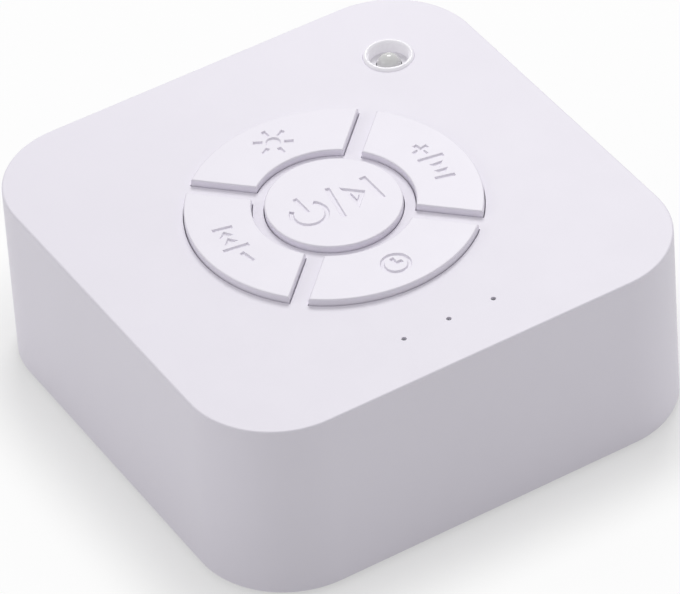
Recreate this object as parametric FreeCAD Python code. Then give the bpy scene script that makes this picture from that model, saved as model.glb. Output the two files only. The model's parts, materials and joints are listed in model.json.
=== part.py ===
import FreeCAD, Part

import math
import os

from FreeCAD import Vector

# Square bedside sound machine with five keys on its top panel and a speaker
# that faces down through the bottom cover. Millimetres, +Z up, +Y to the back,
# origin on the resting surface under the middle of the case.

# Case
TOP_SIDE = 100.0
TOP_CORNER_R = 18.0
SIDE_DRAFT_DEG = 0.81
BODY_H = 38.3
WALL = 2.0
PANEL_T = 2.2
TOP_EDGE_R = 0.4
FOOT_STAND = 1.0

# Keys: a round one and four ring sectors around it. Their common middle lies
# a little to the front left of the case's middle.
KEYS_X = -0.35
KEYS_Y = -0.55
KEY_PROUD = 1.4
CENTRE_CUT_R = 13.06
RING_CUT_R_IN = 15.05
RING_CUT_R_OUT = 27.95
RING_CUT_OFFSET = 1.6
KEY_GAP = 0.2
KEY_SKIN = 1.8
KEY_WALL = 1.6
KEY_EDGE_R = 0.3
KEY_FLANGE_T = 1.0
KEY_FLANGE_LIP = 0.85
KEY_FLANGE_GAP = 0.1
KEY_TRAVEL = 0.5
STEM_R = 2.4
STEM_BELOW_FLANGE = 1.4

# Engraved legends: strokes with sloping walls
LEGEND_DEPTH = 0.35
LEGEND_SLOPE_RUN = 0.2
LEGEND_STROKE = 1.0
LEGEND_THIN_STROKE = 0.9
LEGEND_BAR = 1.4
GLYPH_UNIT = 1.0
CUT_OVER = 0.1

# Two heights nearer than this are taken as one
SAME_Z = 1e-4

# Push switches under the keys
SWITCH_SIDE = 6.0
SWITCH_BODY_H = 3.5
SWITCH_H = 5.0
PLUNGER_R = 1.75
PLUNGER_CLEAR = 0.06
PLUNGER_SUNK = 1.8

# Circuit board, hung from the panel on four posts
BOARD_T = 1.6
BOARD_EDGE_GAP = 4.0
BOARD_POST_R = 2.6
BOARD_POST_INSET_X = 12.0
BOARD_POST_Y = 14.0
BOARD_POST_GAP = 1.0
BOARD_SCREW_R = 1.0
BOARD_SCREW_HEAD_R = 1.9
BOARD_SCREW_HEAD_H = 1.3
BOARD_SCREW_BITE = 5.0

# Bottom cover and the four screws that hold it
COVER_RECESS = 0.6
COVER_T = 2.0
COVER_GAP = 0.25
POST_INSET = 10.5
POST_R = 3.2
BOSS_R = 4.4
BOSS_H = 2.5
BOSS_FLOOR = 1.6
SCREW_R = 1.25
SCREW_HEAD_R = 2.6
SCREW_HEAD_H = 1.7
SCREW_HEAD_CLEAR = 0.4
SCREW_BITE = 8.0
HOLE_CLEAR = 0.06
THROUGH_CLEAR = 0.25

# Rubber feet
FOOT_R = 5.0
FOOT_RECESS = 0.8
FOOT_GAP = 0.1
FOOT_INSET_X = 22.0
FOOT_INSET_Y = 12.0
FOOT_EDGE_R = 0.5

# Speaker
SPK_Y = -13.0
SPK_FLANGE_W = 5.4
SPK_CORNER_R = 8.0
SPK_FLANGE_T = 1.2
SPK_SCREW_INSET = 4.5
SPK_SCREW_R = 1.0
SPK_SCREW_HEAD_R = 1.9
SPK_SCREW_HEAD_H = 1.2
SPK_SCREW_BITE = 2.2
SPK_POST_R = 2.8
SPK_MOUTH_R = 20.6
SPK_GASKET_T = 1.0
SPK_GASKET_W = 3.9
BASKET_T = 0.8
BASKET_LAND = 2.0
BASKET_LEDGE_R_OUT = 16.4
BASKET_LEDGE_R_IN = 14.6
BASKET_LEDGE_RISE = 5.8
BASKET_TOP_RISE = 8.4
BASKET_HOLE_R = 8.0
BASKET_WINDOW_W = 13.0
COIL_R = 6.4
COIL_T = 0.4
COIL_AIR_GAP = 0.4
COIL_LEN = 8.4
COIL_RISE = 3.8
POLE_R = 6.0
PLATE_R = 13.0
PLATE_T = 2.0
MAGNET_R = 14.0
MAGNET_HOLE_R = 8.5
MAGNET_T = 5.0
CONE_MOUTH_GAP = 2.0
CONE_LIP_W = 1.2
CONE_T = 0.4
CONE_DEPTH = 4.4
CONE_COLLAR_H = 0.6
SURROUND_T = 0.3
SURROUND_ROLL_RISE = 1.2
SURROUND_RIM_GAP = 0.6
SURROUND_ROLL_GAP = 0.3
SPIDER_T = 0.4
DUST_CAP_R = 8.2
DUST_CAP_DROP = 2.3
DUST_CAP_T = 0.4
SEAT_GAP = 0.1
GLUE_GAP = 0.05

# Sound outlet in the bottom cover
GRILLE_HOLE_R = 1.1
GRILLE_PITCH = 4.4
GRILLE_MARGIN = 2.5

# Rechargeable cell in its cradle
CELL_R = 9.2
CELL_LEN = 66.0
CELL_LIFT = 0.6
CELL_GAP = 3.0
CELL_NUB_R = 3.0
CELL_NUB_LEN = 0.8
CELL_EDGE_R = 0.6
CRADLE_T = 2.0
CRADLE_H = 6.0
CRADLE_PITCH = 20.0
CRADLE_CLEAR = 0.1
CRADLE_LUG = 2.0
FOAM_SIDE = 14.0
FOAM_GAP = 0.1

# Charging socket at the back edge of the board
USB_W = 9.0
USB_H = 3.2
USB_LEN = 7.4
USB_WALL = 0.3
USB_WALL_GAP = 0.4
USB_SLOT_W = 12.4
USB_SLOT_H = 6.6
TONGUE_W = 6.7
TONGUE_T = 0.7
TONGUE_SHORT = 1.0
TONGUE_BLOCK = 1.5

# Night light in the back right corner of the panel
LENS_HOLE_R = 5.0
LENS_GAP = 0.1
LENS_BORE_R = 3.95
LENS_PROUD = 0.55
LENS_EDGE_R = 0.45
LENS_FLANGE_R = 6.2
LENS_FLANGE_T = 1.0
LENS_CUP_DEPTH = 2.0
HOLDER_GAP = 0.1
LAMP_R = 2.35
LAMP_GAP = 0.15
LAMP_DOME_RISE = 2.3

# Three timer dots in front of the keys
DOT_R = 0.5
DOT_PITCH = 9.53
DOT_INSET = 10.85
DOT_COUNT = 3
DOT_PIN_GAP = 0.05
DOT_PIN_SUNK = 0.5
GUIDE_W = 3.0
GUIDE_T = 1.2
GUIDE_END = 2.5
GUIDE_LEG_R = 0.9
TIMER_LAMP_L = 1.6
TIMER_LAMP_W = 0.8
TIMER_LAMP_H = 0.6
TIMER_LAMP_GAP = 0.2

# Plugs and leads between the board, the speaker and the cell
LEAD_R = 0.6
LEAD_PITCH = 1.9
LEAD_BEND_R = 3.5
PLUG_L = 6.0
PLUG_W = 5.0
PLUG_H = 4.5
STRIP_T = 1.0
STRIP_W = 8.0
STRIP_H = 4.0
STRIP_FROM_EDGE = 0.8
STRIP_SHIFT = 9.0
STRIP_HOLE_R = 0.5
LEAD_RISE = 2.2
SPK_LEAD_REACH = 6.3
CELL_LEAD_REACH = 4.0

# Parts on the underside of the board: which edges they are set from, their
# insets from those edges, side along x, side along y and height
CHIPS = {
    "controller_chip": (-1, 1, 20.0, 32.0, 9.0, 9.0, 1.2),
    "memory_chip": (-1, 1, 32.0, 32.0, 5.3, 5.3, 1.8),
    "amplifier_chip": (1, -1, 20.0, 14.0, 5.0, 4.0, 1.4),
}
CHIP_MARK_R = 0.4
CHIP_MARK_DEPTH = 0.2
CAN_R = 2.5
CAN_H = 5.0
CAN_EDGE_R = 0.4
CAN_PLACES = ((-1, -1, 14.0, 16.0), (-1, -1, 14.0, 9.0), (1, -1, 26.0, 8.0))

# Heights that follow from the sizes above
SHELL_Z0 = FOOT_STAND
PANEL_Z = SHELL_Z0 + BODY_H
PANEL_UNDER = PANEL_Z - PANEL_T
KEY_TOP = PANEL_Z + KEY_PROUD
FLANGE_TOP = PANEL_UNDER - KEY_FLANGE_GAP
FLANGE_Z0 = FLANGE_TOP - KEY_FLANGE_T
PLUNGER_TOP = FLANGE_Z0 - STEM_BELOW_FLANGE
BOARD_TOP = PLUNGER_TOP - SWITCH_H
BOARD_Z0 = BOARD_TOP - BOARD_T
COVER_Z0 = SHELL_Z0 + COVER_RECESS
COVER_TOP = COVER_Z0 + COVER_T
BOSS_TOP = COVER_TOP + BOSS_H
SPK_Z0 = COVER_TOP + SPK_GASKET_T
SPK_FLANGE_TOP = SPK_Z0 + SPK_FLANGE_T
BASKET_TOP = SPK_FLANGE_TOP + BASKET_TOP_RISE + BASKET_T
LEDGE_Z = SPK_FLANGE_TOP + BASKET_LEDGE_RISE
PLATE_TOP = BASKET_TOP + PLATE_T
MAGNET_TOP = PLATE_TOP + MAGNET_T
CELL_Z = COVER_TOP + CELL_LIFT + CELL_R

# Places in plan
SLOPE = math.tan(math.radians(SIDE_DRAFT_DEG))
RING_MID_R = (RING_CUT_R_IN + RING_CUT_R_OUT) / 2
LEGEND_FLARE = LEGEND_SLOPE_RUN * CUT_OVER / LEGEND_DEPTH
POST_XY = TOP_SIDE / 2 - POST_INSET
BOARD_HALF = TOP_SIDE / 2 - WALL - BOARD_EDGE_GAP
BOARD_POST_X = TOP_SIDE / 2 - BOARD_POST_INSET_X
FOOT_X = TOP_SIDE / 2 - FOOT_INSET_X
FOOT_Y = TOP_SIDE / 2 - FOOT_INSET_Y
LENS_XY = TOP_SIDE / 2 - TOP_CORNER_R
DOT_Y = DOT_INSET - TOP_SIDE / 2
SPK_HALF = SPK_MOUTH_R + SPK_FLANGE_W
SPK_SCREW_OFFSET = SPK_HALF - SPK_SCREW_INSET
BASKET_FOOT_R = SPK_MOUTH_R + BASKET_LAND
CONE_R = SPK_MOUTH_R - CONE_MOUTH_GAP
STRIP_Y = SPK_Y + STRIP_SHIFT
CELL_Y = SPK_Y + SPK_HALF + CELL_GAP + CELL_R
MIDDLE_KEY_ANGLE = 90
RING_KEYS = {"light": 90, "next": 0, "timer": 270, "previous": 180}


def half_at(z):
    """Half the outer side of the case at height z."""
    return TOP_SIDE / 2 + (PANEL_Z - z) * SLOPE


def rounded_rect(half_x, half_y, radius, z, cx=0.0, cy=0.0):
    """Wire of a rounded rectangle, centred at cx, cy."""
    edges = []
    corners = [(1, 1), (-1, 1), (-1, -1), (1, -1)]
    arcs = []
    for turn, (sx, sy) in enumerate(corners):
        centre = Vector(cx + sx * (half_x - radius), cy + sy * (half_y - radius), z)
        points = []
        for step in (0, 45, 90):
            angle = math.radians(90 * turn + step)
            points.append(centre + Vector(radius * math.cos(angle), radius * math.sin(angle), 0))
        arcs.append(points)
    for index, points in enumerate(arcs):
        following = arcs[(index + 1) % 4]
        edges.append(Part.Arc(*points).toShape())
        edges.append(Part.LineSegment(points[2], following[0]).toShape())
    return Part.Wire(edges)


def case_block(z0, z1, inset):
    """Drafted block of the case's form between two heights, inset all round."""
    wires = []
    for z in (z0, z1):
        half = half_at(z) - inset
        radius = TOP_CORNER_R + half_at(z) - TOP_SIDE / 2 - inset
        wires.append(rounded_rect(half, half, radius, z))
    return Part.makeLoft(wires, True, True)


def prism(wire, height):
    """Solid of a closed wire raised by height."""
    return Part.Face(wire).extrude(Vector(0, 0, height))


def block(cx, cy, size_x, size_y, z0, height):
    """Box centred at cx, cy that stands on z0."""
    corner = Vector(cx - size_x / 2, cy - size_y / 2, z0)
    return Part.makeBox(size_x, size_y, height, corner)


def rod(radius, z0, z1, cx=0.0, cy=0.0):
    """Upright cylinder between two heights."""
    return Part.makeCylinder(radius, z1 - z0, Vector(cx, cy, z0))


def pipe(r_out, r_in, z0, z1, cx=0.0, cy=0.0):
    """Upright tube between two heights."""
    return rod(r_out, z0, z1, cx, cy).cut(rod(r_in, z0, z1, cx, cy))


def turned(outline, cx=0.0, cy=0.0, angle=360.0):
    """Solid turned from a closed outline of (radius, height) points."""
    points = [Vector(r, 0, z) for r, z in outline]
    face = Part.Face(Part.makePolygon(points + points[:1]))
    solid = face.revolve(Vector(0, 0, 0), Vector(0, 0, 1), angle)
    solid.translate(Vector(cx, cy, 0))
    return solid


def fused(shapes):
    """One clean solid from shapes that touch or overlap."""
    return shapes[0].multiFuse(shapes[1:]).removeSplitter()


def corners(x, y, cx=0.0, cy=0.0):
    """The four points at plus and minus x, y about cx, cy."""
    return [(cx + sx * x, cy + sy * y) for sx in (-1, 1) for sy in (-1, 1)]


def cross_recess(radius, z_open, depth, cx, cy):
    """Cross-shaped driver recess that opens at z_open; a negative depth opens upwards."""
    low = min(z_open, z_open + depth)
    arms = [
        block(cx, cy, 2 * radius, radius / 2, low, abs(depth)),
        block(cx, cy, radius / 2, 2 * radius, low, abs(depth)),
    ]
    return fused(arms)


def ring_sector(r_in, r_out, offset, z0, height):
    """Quarter ring centred on +Y whose ends lie offset from the diagonals."""
    points = {}
    for name, radius in (("in", r_in), ("out", r_out)):
        along = math.sqrt(radius ** 2 - offset ** 2)
        x = (along - offset) / math.sqrt(2)
        y = (along + offset) / math.sqrt(2)
        points[name] = (Vector(x, y, z0), Vector(0, radius, z0), Vector(-x, y, z0))
    right_in, mid_in, left_in = points["in"]
    right_out, mid_out, left_out = points["out"]
    edges = [
        Part.LineSegment(right_in, right_out).toShape(),
        Part.Arc(right_out, mid_out, left_out).toShape(),
        Part.LineSegment(left_out, left_in).toShape(),
        Part.Arc(left_in, mid_in, right_in).toShape(),
    ]
    return prism(Part.Wire(edges), height)


def key_form(centre, grow, z0, height):
    """Plan form of a key's cut-out, grown or shrunk, as a solid."""
    if centre:
        return rod(CENTRE_CUT_R + grow, z0, z0 + height)
    return ring_sector(
        RING_CUT_R_IN - grow, RING_CUT_R_OUT + grow, RING_CUT_OFFSET - grow, z0, height
    )


def soften_top(solid, z, radius):
    """Round the edges of a solid that lie at height z."""
    rim = [e for e in solid.Edges if all(abs(v.Z - z) < SAME_Z for v in e.Vertexes)]
    return solid.makeFillet(radius, rim)


def turn_to_key(shape, angle):
    """Take a shape made at +Y about the origin to the key at the given angle."""
    placed = shape.copy()
    placed.rotate(Vector(0, 0, 0), Vector(0, 0, 1), angle - 90)
    placed.translate(Vector(KEYS_X, KEYS_Y, 0))
    return placed


# Legends. Each is drawn about its own middle, reads along +X, and cuts down from KEY_TOP.


def sunk_outline(points):
    """Pocket under a closed convex outline, with sloping walls."""
    corners_xy = [Vector(GLYPH_UNIT * x, GLYPH_UNIT * y, 0) for x, y in points]
    wire = Part.makePolygon(corners_xy + corners_xy[:1])
    wide = wire.makeOffset2D(LEGEND_FLARE, 2)
    narrow = wire.makeOffset2D(-LEGEND_SLOPE_RUN, 2)
    wide.translate(Vector(0, 0, KEY_TOP + CUT_OVER))
    narrow.translate(Vector(0, 0, KEY_TOP - LEGEND_DEPTH))
    return Part.makeLoft([narrow, wide], True, True)


def stroke(start, end, width=LEGEND_STROKE):
    """Straight groove between two points, given in glyph units."""
    ax, ay = start
    bx, by = end
    length = math.hypot(bx - ax, by - ay)
    half = width / 2 / GLYPH_UNIT
    nx = -(by - ay) / length * half
    ny = (bx - ax) / length * half
    outline = [(ax - nx, ay - ny), (bx - nx, by - ny), (bx + nx, by + ny), (ax + nx, ay + ny)]
    return sunk_outline(outline)


def arc_groove(cx, cy, radius, first, sweep, width=LEGEND_STROKE):
    """Round groove about cx, cy in glyph units, from angle first through sweep."""
    top = width / 2 + LEGEND_FLARE
    floor = width / 2 - LEGEND_SLOPE_RUN
    middle = GLYPH_UNIT * radius
    outline = [
        (middle - top, KEY_TOP + CUT_OVER),
        (middle - floor, KEY_TOP - LEGEND_DEPTH),
        (middle + floor, KEY_TOP - LEGEND_DEPTH),
        (middle + top, KEY_TOP + CUT_OVER),
    ]
    groove = turned(outline, angle=sweep)
    groove.rotate(Vector(0, 0, 0), Vector(0, 0, 1), first)
    groove.translate(Vector(GLYPH_UNIT * cx, GLYPH_UNIT * cy, 0))
    return groove


def sunk_disc(radius):
    """Round pocket with a sloping wall; the radius is in glyph units."""
    rim = GLYPH_UNIT * radius
    low = Vector(0, 0, KEY_TOP - LEGEND_DEPTH)
    return Part.makeCone(rim - LEGEND_SLOPE_RUN, rim + LEGEND_FLARE, LEGEND_DEPTH + CUT_OVER, low)


def arrow(direction):
    """Solid triangle that points along plus or minus X."""
    base_x = -0.8 * direction
    tip_x = 0.8 * direction
    half_base = 1.45 * direction
    return sunk_outline([(base_x, -half_base), (tip_x, 0.0), (base_x, half_base)])


def hollow_arrow():
    """Triangle outline that points along +X, with an island left in its middle."""
    outer = sunk_outline([(0.0, -3.6), (3.6, 0.0), (0.0, 3.6)])
    points = [Vector(GLYPH_UNIT * x, GLYPH_UNIT * y, 0) for x, y in ((1.0, -1.2), (2.2, 0.0), (1.0, 1.2))]
    inner = Part.makePolygon(points + points[:1])
    wide = inner.makeOffset2D(LEGEND_SLOPE_RUN / 2, 2)
    wide.translate(Vector(0, 0, KEY_TOP - LEGEND_DEPTH - CUT_OVER))
    narrow = inner.copy()
    narrow.translate(Vector(0, 0, KEY_TOP + 2 * CUT_OVER))
    return outer.cut(Part.makeLoft([wide, narrow], True, True))


def on_arc(shape, along, inward):
    """Lay a glyph on the key ring, along glyph units past the key's middle."""
    swing = -math.degrees(GLYPH_UNIT * along / RING_MID_R)
    laid = shape.copy()
    if inward:
        laid.rotate(Vector(0, 0, 0), Vector(0, 0, 1), 180)
        swing = -swing
    laid.translate(Vector(0, RING_MID_R, 0))
    laid.rotate(Vector(0, 0, 0), Vector(0, 0, 1), swing)
    return laid


def slanted_stroke():
    """The slash that parts two functions of one key."""
    return stroke((-0.5, -2.5), (0.5, 2.5))


def next_legend():
    """Plus, slash and a skip-forward sign."""
    plus = [stroke((-1.75, 0), (1.75, 0)), stroke((0, -1.75), (0, 1.75))]
    return [
        on_arc(fused(plus), -3.6, False),
        on_arc(slanted_stroke(), -0.45, False),
        on_arc(arrow(1), 2.1, False),
        on_arc(arrow(1), 4.2, False),
        on_arc(stroke((0, -1.95), (0, 1.95), LEGEND_THIN_STROKE), 5.75, False),
    ]


def previous_legend():
    """Skip-back sign, slash and minus."""
    return [
        on_arc(stroke((0, -1.95), (0, 1.95), LEGEND_THIN_STROKE), -5.3, True),
        on_arc(arrow(-1), -3.7, True),
        on_arc(arrow(-1), -1.65, True),
        on_arc(slanted_stroke(), 0.85, True),
        on_arc(stroke((-1.65, 0), (1.65, 0)), 4.2, True),
    ]


def light_legend():
    """Sun: a disc with six rays."""
    glyphs = [sunk_disc(1.45)]
    ray = stroke((2.0, 0), (3.85, 0), LEGEND_THIN_STROKE)
    for index in range(6):
        glyph = ray.copy()
        glyph.rotate(Vector(0, 0, 0), Vector(0, 0, 1), 30 + 60 * index)
        glyphs.append(glyph)
    return [on_arc(glyph, 0, False) for glyph in glyphs]


def timer_legend():
    """Clock: a ring with two hands."""
    glyphs = [
        arc_groove(0, 0, 2.5, 0, 360, LEGEND_THIN_STROKE),
        stroke((0, -0.45), (0, 1.7), LEGEND_THIN_STROKE),
        stroke((-0.45, 0), (1.4, 0), LEGEND_THIN_STROKE),
    ]
    return [on_arc(glyph, 0, True) for glyph in glyphs]


def power_legend():
    """Power sign, slash, hollow arrow and bar."""
    play = hollow_arrow()
    play.translate(Vector(GLYPH_UNIT * 2.95, GLYPH_UNIT * -0.65, 0))
    return [
        arc_groove(-5.5, -0.35, 3.3, 134, 272),
        stroke((-5.5, 0.1), (-5.5, 4.9)),
        stroke((-0.7, -4.9), (1.05, 4.1)),
        play,
        stroke((8.0, -4.3), (8.0, 3.1), LEGEND_BAR),
    ]


LEGENDS = {
    "power": power_legend,
    "light": light_legend,
    "next": next_legend,
    "timer": timer_legend,
    "previous": previous_legend,
}


# Sub-parts


def key_angle(name):
    """Angle of a ring key about the middle; the middle key stays where it is made."""
    return RING_KEYS.get(name, MIDDLE_KEY_ANGLE)


def switch_place(name):
    """Plan position of the switch under a key."""
    if name not in RING_KEYS:
        return KEYS_X, KEYS_Y
    angle = math.radians(RING_KEYS[name])
    return KEYS_X + RING_MID_R * math.cos(angle), KEYS_Y + RING_MID_R * math.sin(angle)


def key(name):
    """Key cap with its retaining flange, stem and engraved legend."""
    centre = name not in RING_KEYS
    cap = key_form(centre, -KEY_GAP, FLANGE_Z0, KEY_TOP - FLANGE_Z0)
    cap = soften_top(cap, KEY_TOP, KEY_EDGE_R)
    flange = key_form(centre, KEY_FLANGE_LIP - KEY_GAP, FLANGE_Z0, KEY_FLANGE_T)
    hollow = key_form(centre, -KEY_GAP - KEY_WALL, FLANGE_Z0, KEY_TOP - KEY_SKIN - FLANGE_Z0)
    stem_y = 0.0 if centre else RING_MID_R
    stem = rod(STEM_R, PLUNGER_TOP, KEY_TOP - KEY_SKIN, 0, stem_y)
    body = fused([cap.cut(hollow), flange.cut(hollow), stem])
    return turn_to_key(body.cut(LEGENDS[name]()), key_angle(name))


def switch_plunger(name):
    """Round plunger of the push switch, which the key's stem rests on."""
    x, y = switch_place(name)
    return rod(PLUNGER_R, BOARD_TOP + SWITCH_BODY_H - PLUNGER_SUNK, PLUNGER_TOP, x, y)


def switch_body(name):
    """Square body of the push switch with the well for its plunger."""
    x, y = switch_place(name)
    body = block(x, y, SWITCH_SIDE, SWITCH_SIDE, BOARD_TOP, SWITCH_BODY_H)
    well_z0 = BOARD_TOP + SWITCH_BODY_H - PLUNGER_SUNK - 2 * KEY_TRAVEL
    well = rod(PLUNGER_R + PLUNGER_CLEAR, well_z0, BOARD_TOP + SWITCH_BODY_H, x, y)
    return body.cut(well)


def key_cutouts():
    """Openings in the panel for all five keys."""
    height = PANEL_T + 2
    cuts = [turn_to_key(key_form(True, 0, PANEL_UNDER - 1, height), MIDDLE_KEY_ANGLE)]
    sector = key_form(False, 0, PANEL_UNDER - 1, height)
    cuts.extend(turn_to_key(sector, angle) for angle in RING_KEYS.values())
    return cuts


def usb_centre_z():
    """Height of the middle of the charging socket, hung under the board."""
    return BOARD_Z0 - USB_H / 2


def oval_y(width, height, cz, y0, y1):
    """Bar along Y with fully rounded ends, centred at x = 0 and height cz."""
    radius = height / 2
    wire = rounded_rect(width / 2, radius, radius - 1e-3, 0)
    bar = prism(wire, y1 - y0)
    bar.rotate(Vector(0, 0, 0), Vector(1, 0, 0), 90)
    bar.translate(Vector(0, y1, cz))
    return bar


def top_shell():
    """One-piece housing with its panel, posts and openings."""
    outer = soften_top(case_block(SHELL_Z0, PANEL_Z, 0), PANEL_Z, TOP_EDGE_R)
    shell = outer.cut(case_block(SHELL_Z0 - 1, PANEL_UNDER, WALL))
    posts = [rod(POST_R, BOSS_TOP, PANEL_UNDER + 1, x, y) for x, y in corners(POST_XY, POST_XY)]
    board_posts = corners(BOARD_POST_X, BOARD_POST_Y)
    posts += [rod(BOARD_POST_R, BOARD_TOP, PANEL_UNDER + 1, x, y) for x, y in board_posts]
    shell = fused([shell] + posts)
    cuts = key_cutouts()
    cuts.append(rod(LENS_HOLE_R, PANEL_UNDER - 1, PANEL_Z + 1, LENS_XY, LENS_XY))
    cuts += [rod(DOT_R, PANEL_UNDER - 1, PANEL_Z + 1, x, DOT_Y) for x in dot_places()]
    cuts += [
        rod(SCREW_R + HOLE_CLEAR, BOSS_TOP, BOSS_TOP + SCREW_BITE + 1, x, y)
        for x, y in corners(POST_XY, POST_XY)
    ]
    cuts += [
        rod(BOARD_SCREW_R + HOLE_CLEAR, BOARD_TOP, BOARD_TOP + BOARD_SCREW_BITE + 1, x, y)
        for x, y in board_posts
    ]
    wall_y = half_at(usb_centre_z())
    cuts.append(oval_y(USB_SLOT_W, USB_SLOT_H, usb_centre_z(), wall_y - WALL - 1, wall_y + 1))
    return shell.cut(cuts)


def dot_places():
    """Distances of the timer dots from the middle, along x."""
    return [DOT_PITCH * (index - (DOT_COUNT - 1) / 2) for index in range(DOT_COUNT)]


def grille_holes():
    """Rings of round sound holes under the speaker."""
    holes = [rod(GRILLE_HOLE_R, COVER_Z0 - 1, COVER_TOP + 1, 0, SPK_Y)]
    rings = int((SPK_MOUTH_R - GRILLE_MARGIN) / GRILLE_PITCH)
    for ring in range(1, rings + 1):
        for index in range(6 * ring):
            angle = 2 * math.pi * index / (6 * ring)
            x = GRILLE_PITCH * ring * math.cos(angle)
            y = SPK_Y + GRILLE_PITCH * ring * math.sin(angle)
            holes.append(rod(GRILLE_HOLE_R, COVER_Z0 - 1, COVER_TOP + 1, x, y))
    return holes


def cradle_places():
    """Distances of the cell's saddles from the middle, along x."""
    return [-CRADLE_PITCH * 1.5, -CRADLE_PITCH / 2, CRADLE_PITCH / 2, CRADLE_PITCH * 1.5]


def bottom_cover():
    """Cover with screw bosses, foot recesses, sound holes and the cell's cradle."""
    half = half_at(COVER_TOP) - WALL - COVER_GAP
    radius = TOP_CORNER_R + half - TOP_SIDE / 2
    plate = prism(rounded_rect(half, half, radius, COVER_Z0), COVER_T)
    parts = [plate]
    parts += [rod(BOSS_R, COVER_Z0, BOSS_TOP, x, y) for x, y in corners(POST_XY, POST_XY)]
    screws = corners(SPK_SCREW_OFFSET, SPK_SCREW_OFFSET, 0, SPK_Y)
    parts += [rod(SPK_POST_R, COVER_Z0, SPK_Z0, x, y) for x, y in screws]
    saddle_w = 2 * (CELL_R + CRADLE_CLEAR + CRADLE_LUG)
    saddle_z0 = COVER_TOP - COVER_T / 2
    saddle_h = CRADLE_H + COVER_T / 2
    parts += [block(x, CELL_Y, CRADLE_T, saddle_w, saddle_z0, saddle_h) for x in cradle_places()]
    cover = fused(parts)
    cuts = grille_holes()
    for x, y in corners(POST_XY, POST_XY):
        cuts.append(rod(SCREW_HEAD_R + SCREW_HEAD_CLEAR, COVER_Z0 - 1, BOSS_TOP - BOSS_FLOOR, x, y))
        cuts.append(rod(SCREW_R + THROUGH_CLEAR, COVER_Z0, BOSS_TOP + 1, x, y))
    recess_top = COVER_Z0 + FOOT_RECESS
    cuts += [rod(FOOT_R + FOOT_GAP, COVER_Z0 - 1, recess_top, x, y) for x, y in corners(FOOT_X, FOOT_Y)]
    pilot_z0 = SPK_Z0 - SPK_SCREW_BITE - SEAT_GAP
    cuts += [rod(SPK_SCREW_R + HOLE_CLEAR, pilot_z0, SPK_Z0 + 1, x, y) for x, y in screws]
    cuts.append(cell_form(CRADLE_CLEAR, 2.0))
    return cover.cut(cuts)


def cell_form(grow, longer):
    """Cylinder of the cell, grown by a clearance and made longer at each end."""
    radius = CELL_R + grow
    length = CELL_LEN + 2 * longer
    return Part.makeCylinder(radius, length, Vector(-length / 2, CELL_Y, CELL_Z), Vector(1, 0, 0))


def battery_cell():
    """Wrapped cylindrical cell with its raised end."""
    cell = cell_form(0, 0)
    rim = [e for e in cell.Edges if e.BoundBox.XLength < SAME_Z]
    cell = cell.makeFillet(CELL_EDGE_R, rim)
    nub = Part.makeCylinder(
        CELL_NUB_R, CELL_NUB_LEN + 1, Vector(-CELL_LEN / 2 - CELL_NUB_LEN, CELL_Y, CELL_Z), Vector(1, 0, 0)
    )
    return fused([cell, nub])


def battery_foam():
    """Foam block under the board that keeps the cell in its cradle."""
    foam = block(0, CELL_Y, FOAM_SIDE, FOAM_SIDE, CELL_Z, BOARD_Z0 - CELL_Z)
    return foam.cut(cell_form(FOAM_GAP, 0))


def main_board():
    """Circuit board with cut corners that clear the housing posts."""
    reach = 2 * POST_XY - math.sqrt(2) * (POST_R + BOARD_POST_GAP)
    side = BOARD_HALF
    near = reach - side
    outline = []
    for sx, sy in ((1, 1), (-1, 1), (-1, -1), (1, -1)):
        pair = [(sx * side, sy * near), (sx * near, sy * side)]
        outline += pair if sx * sy > 0 else pair[::-1]
    points = [Vector(x, y, BOARD_Z0) for x, y in outline]
    board = prism(Part.makePolygon(points + points[:1]), BOARD_T)
    holes = [
        rod(BOARD_SCREW_R + THROUGH_CLEAR, BOARD_Z0 - 1, BOARD_TOP + 1, x, y)
        for x, y in corners(BOARD_POST_X, BOARD_POST_Y)
    ]
    return board.cut(holes)


def board_place(side_x, side_y, inset_x, inset_y):
    """Point on the board at insets from two of its edges."""
    return side_x * (BOARD_HALF - inset_x), side_y * (BOARD_HALF - inset_y)


def board_chip(name):
    """Chip on the underside of the board, with a shallow mark at its first pin."""
    side_x, side_y, inset_x, inset_y, size_x, size_y, height = CHIPS[name]
    x, y = board_place(side_x, side_y, inset_x, inset_y)
    z0 = BOARD_Z0 - height
    chip = block(x, y, size_x, size_y, z0, height)
    mark_x = x - size_x / 2 + 3 * CHIP_MARK_R
    mark_y = y + size_y / 2 - 3 * CHIP_MARK_R
    return chip.cut(rod(CHIP_MARK_R, z0, z0 + CHIP_MARK_DEPTH, mark_x, mark_y))


def board_capacitors():
    """Round capacitors on the underside of the board."""
    cans = []
    low = BOARD_Z0 - CAN_H
    for place in CAN_PLACES:
        can = rod(CAN_R, low, BOARD_Z0, *board_place(*place))
        rim = [e for e in can.Edges if e.BoundBox.ZMax < low + SAME_Z]
        cans.append(can.makeFillet(CAN_EDGE_R, rim))
    return Part.makeCompound(cans)


def screw(x, y, head_z, way, shank_r, head_r, head_h, length):
    """Screw whose head seats at head_z; way is +1 where the shank points up."""
    head_low = min(head_z, head_z - way * head_h)
    shank_low = min(head_z, head_z + way * length)
    head = rod(head_r, head_low, head_low + head_h, x, y)
    shank = rod(shank_r, shank_low, shank_low + length, x, y)
    open_z = head_z - way * head_h
    recess = cross_recess(head_r * 0.55, open_z, way * head_h * 0.5, x, y)
    return fused([head, shank]).cut(recess)


def housing_screws():
    """Four screws that hold the cover to the housing posts."""
    seat = BOSS_TOP - BOSS_FLOOR
    size = (SCREW_R, SCREW_HEAD_R, SCREW_HEAD_H, BOSS_FLOOR + SCREW_BITE)
    return Part.makeCompound([screw(x, y, seat, 1, *size) for x, y in corners(POST_XY, POST_XY)])


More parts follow.
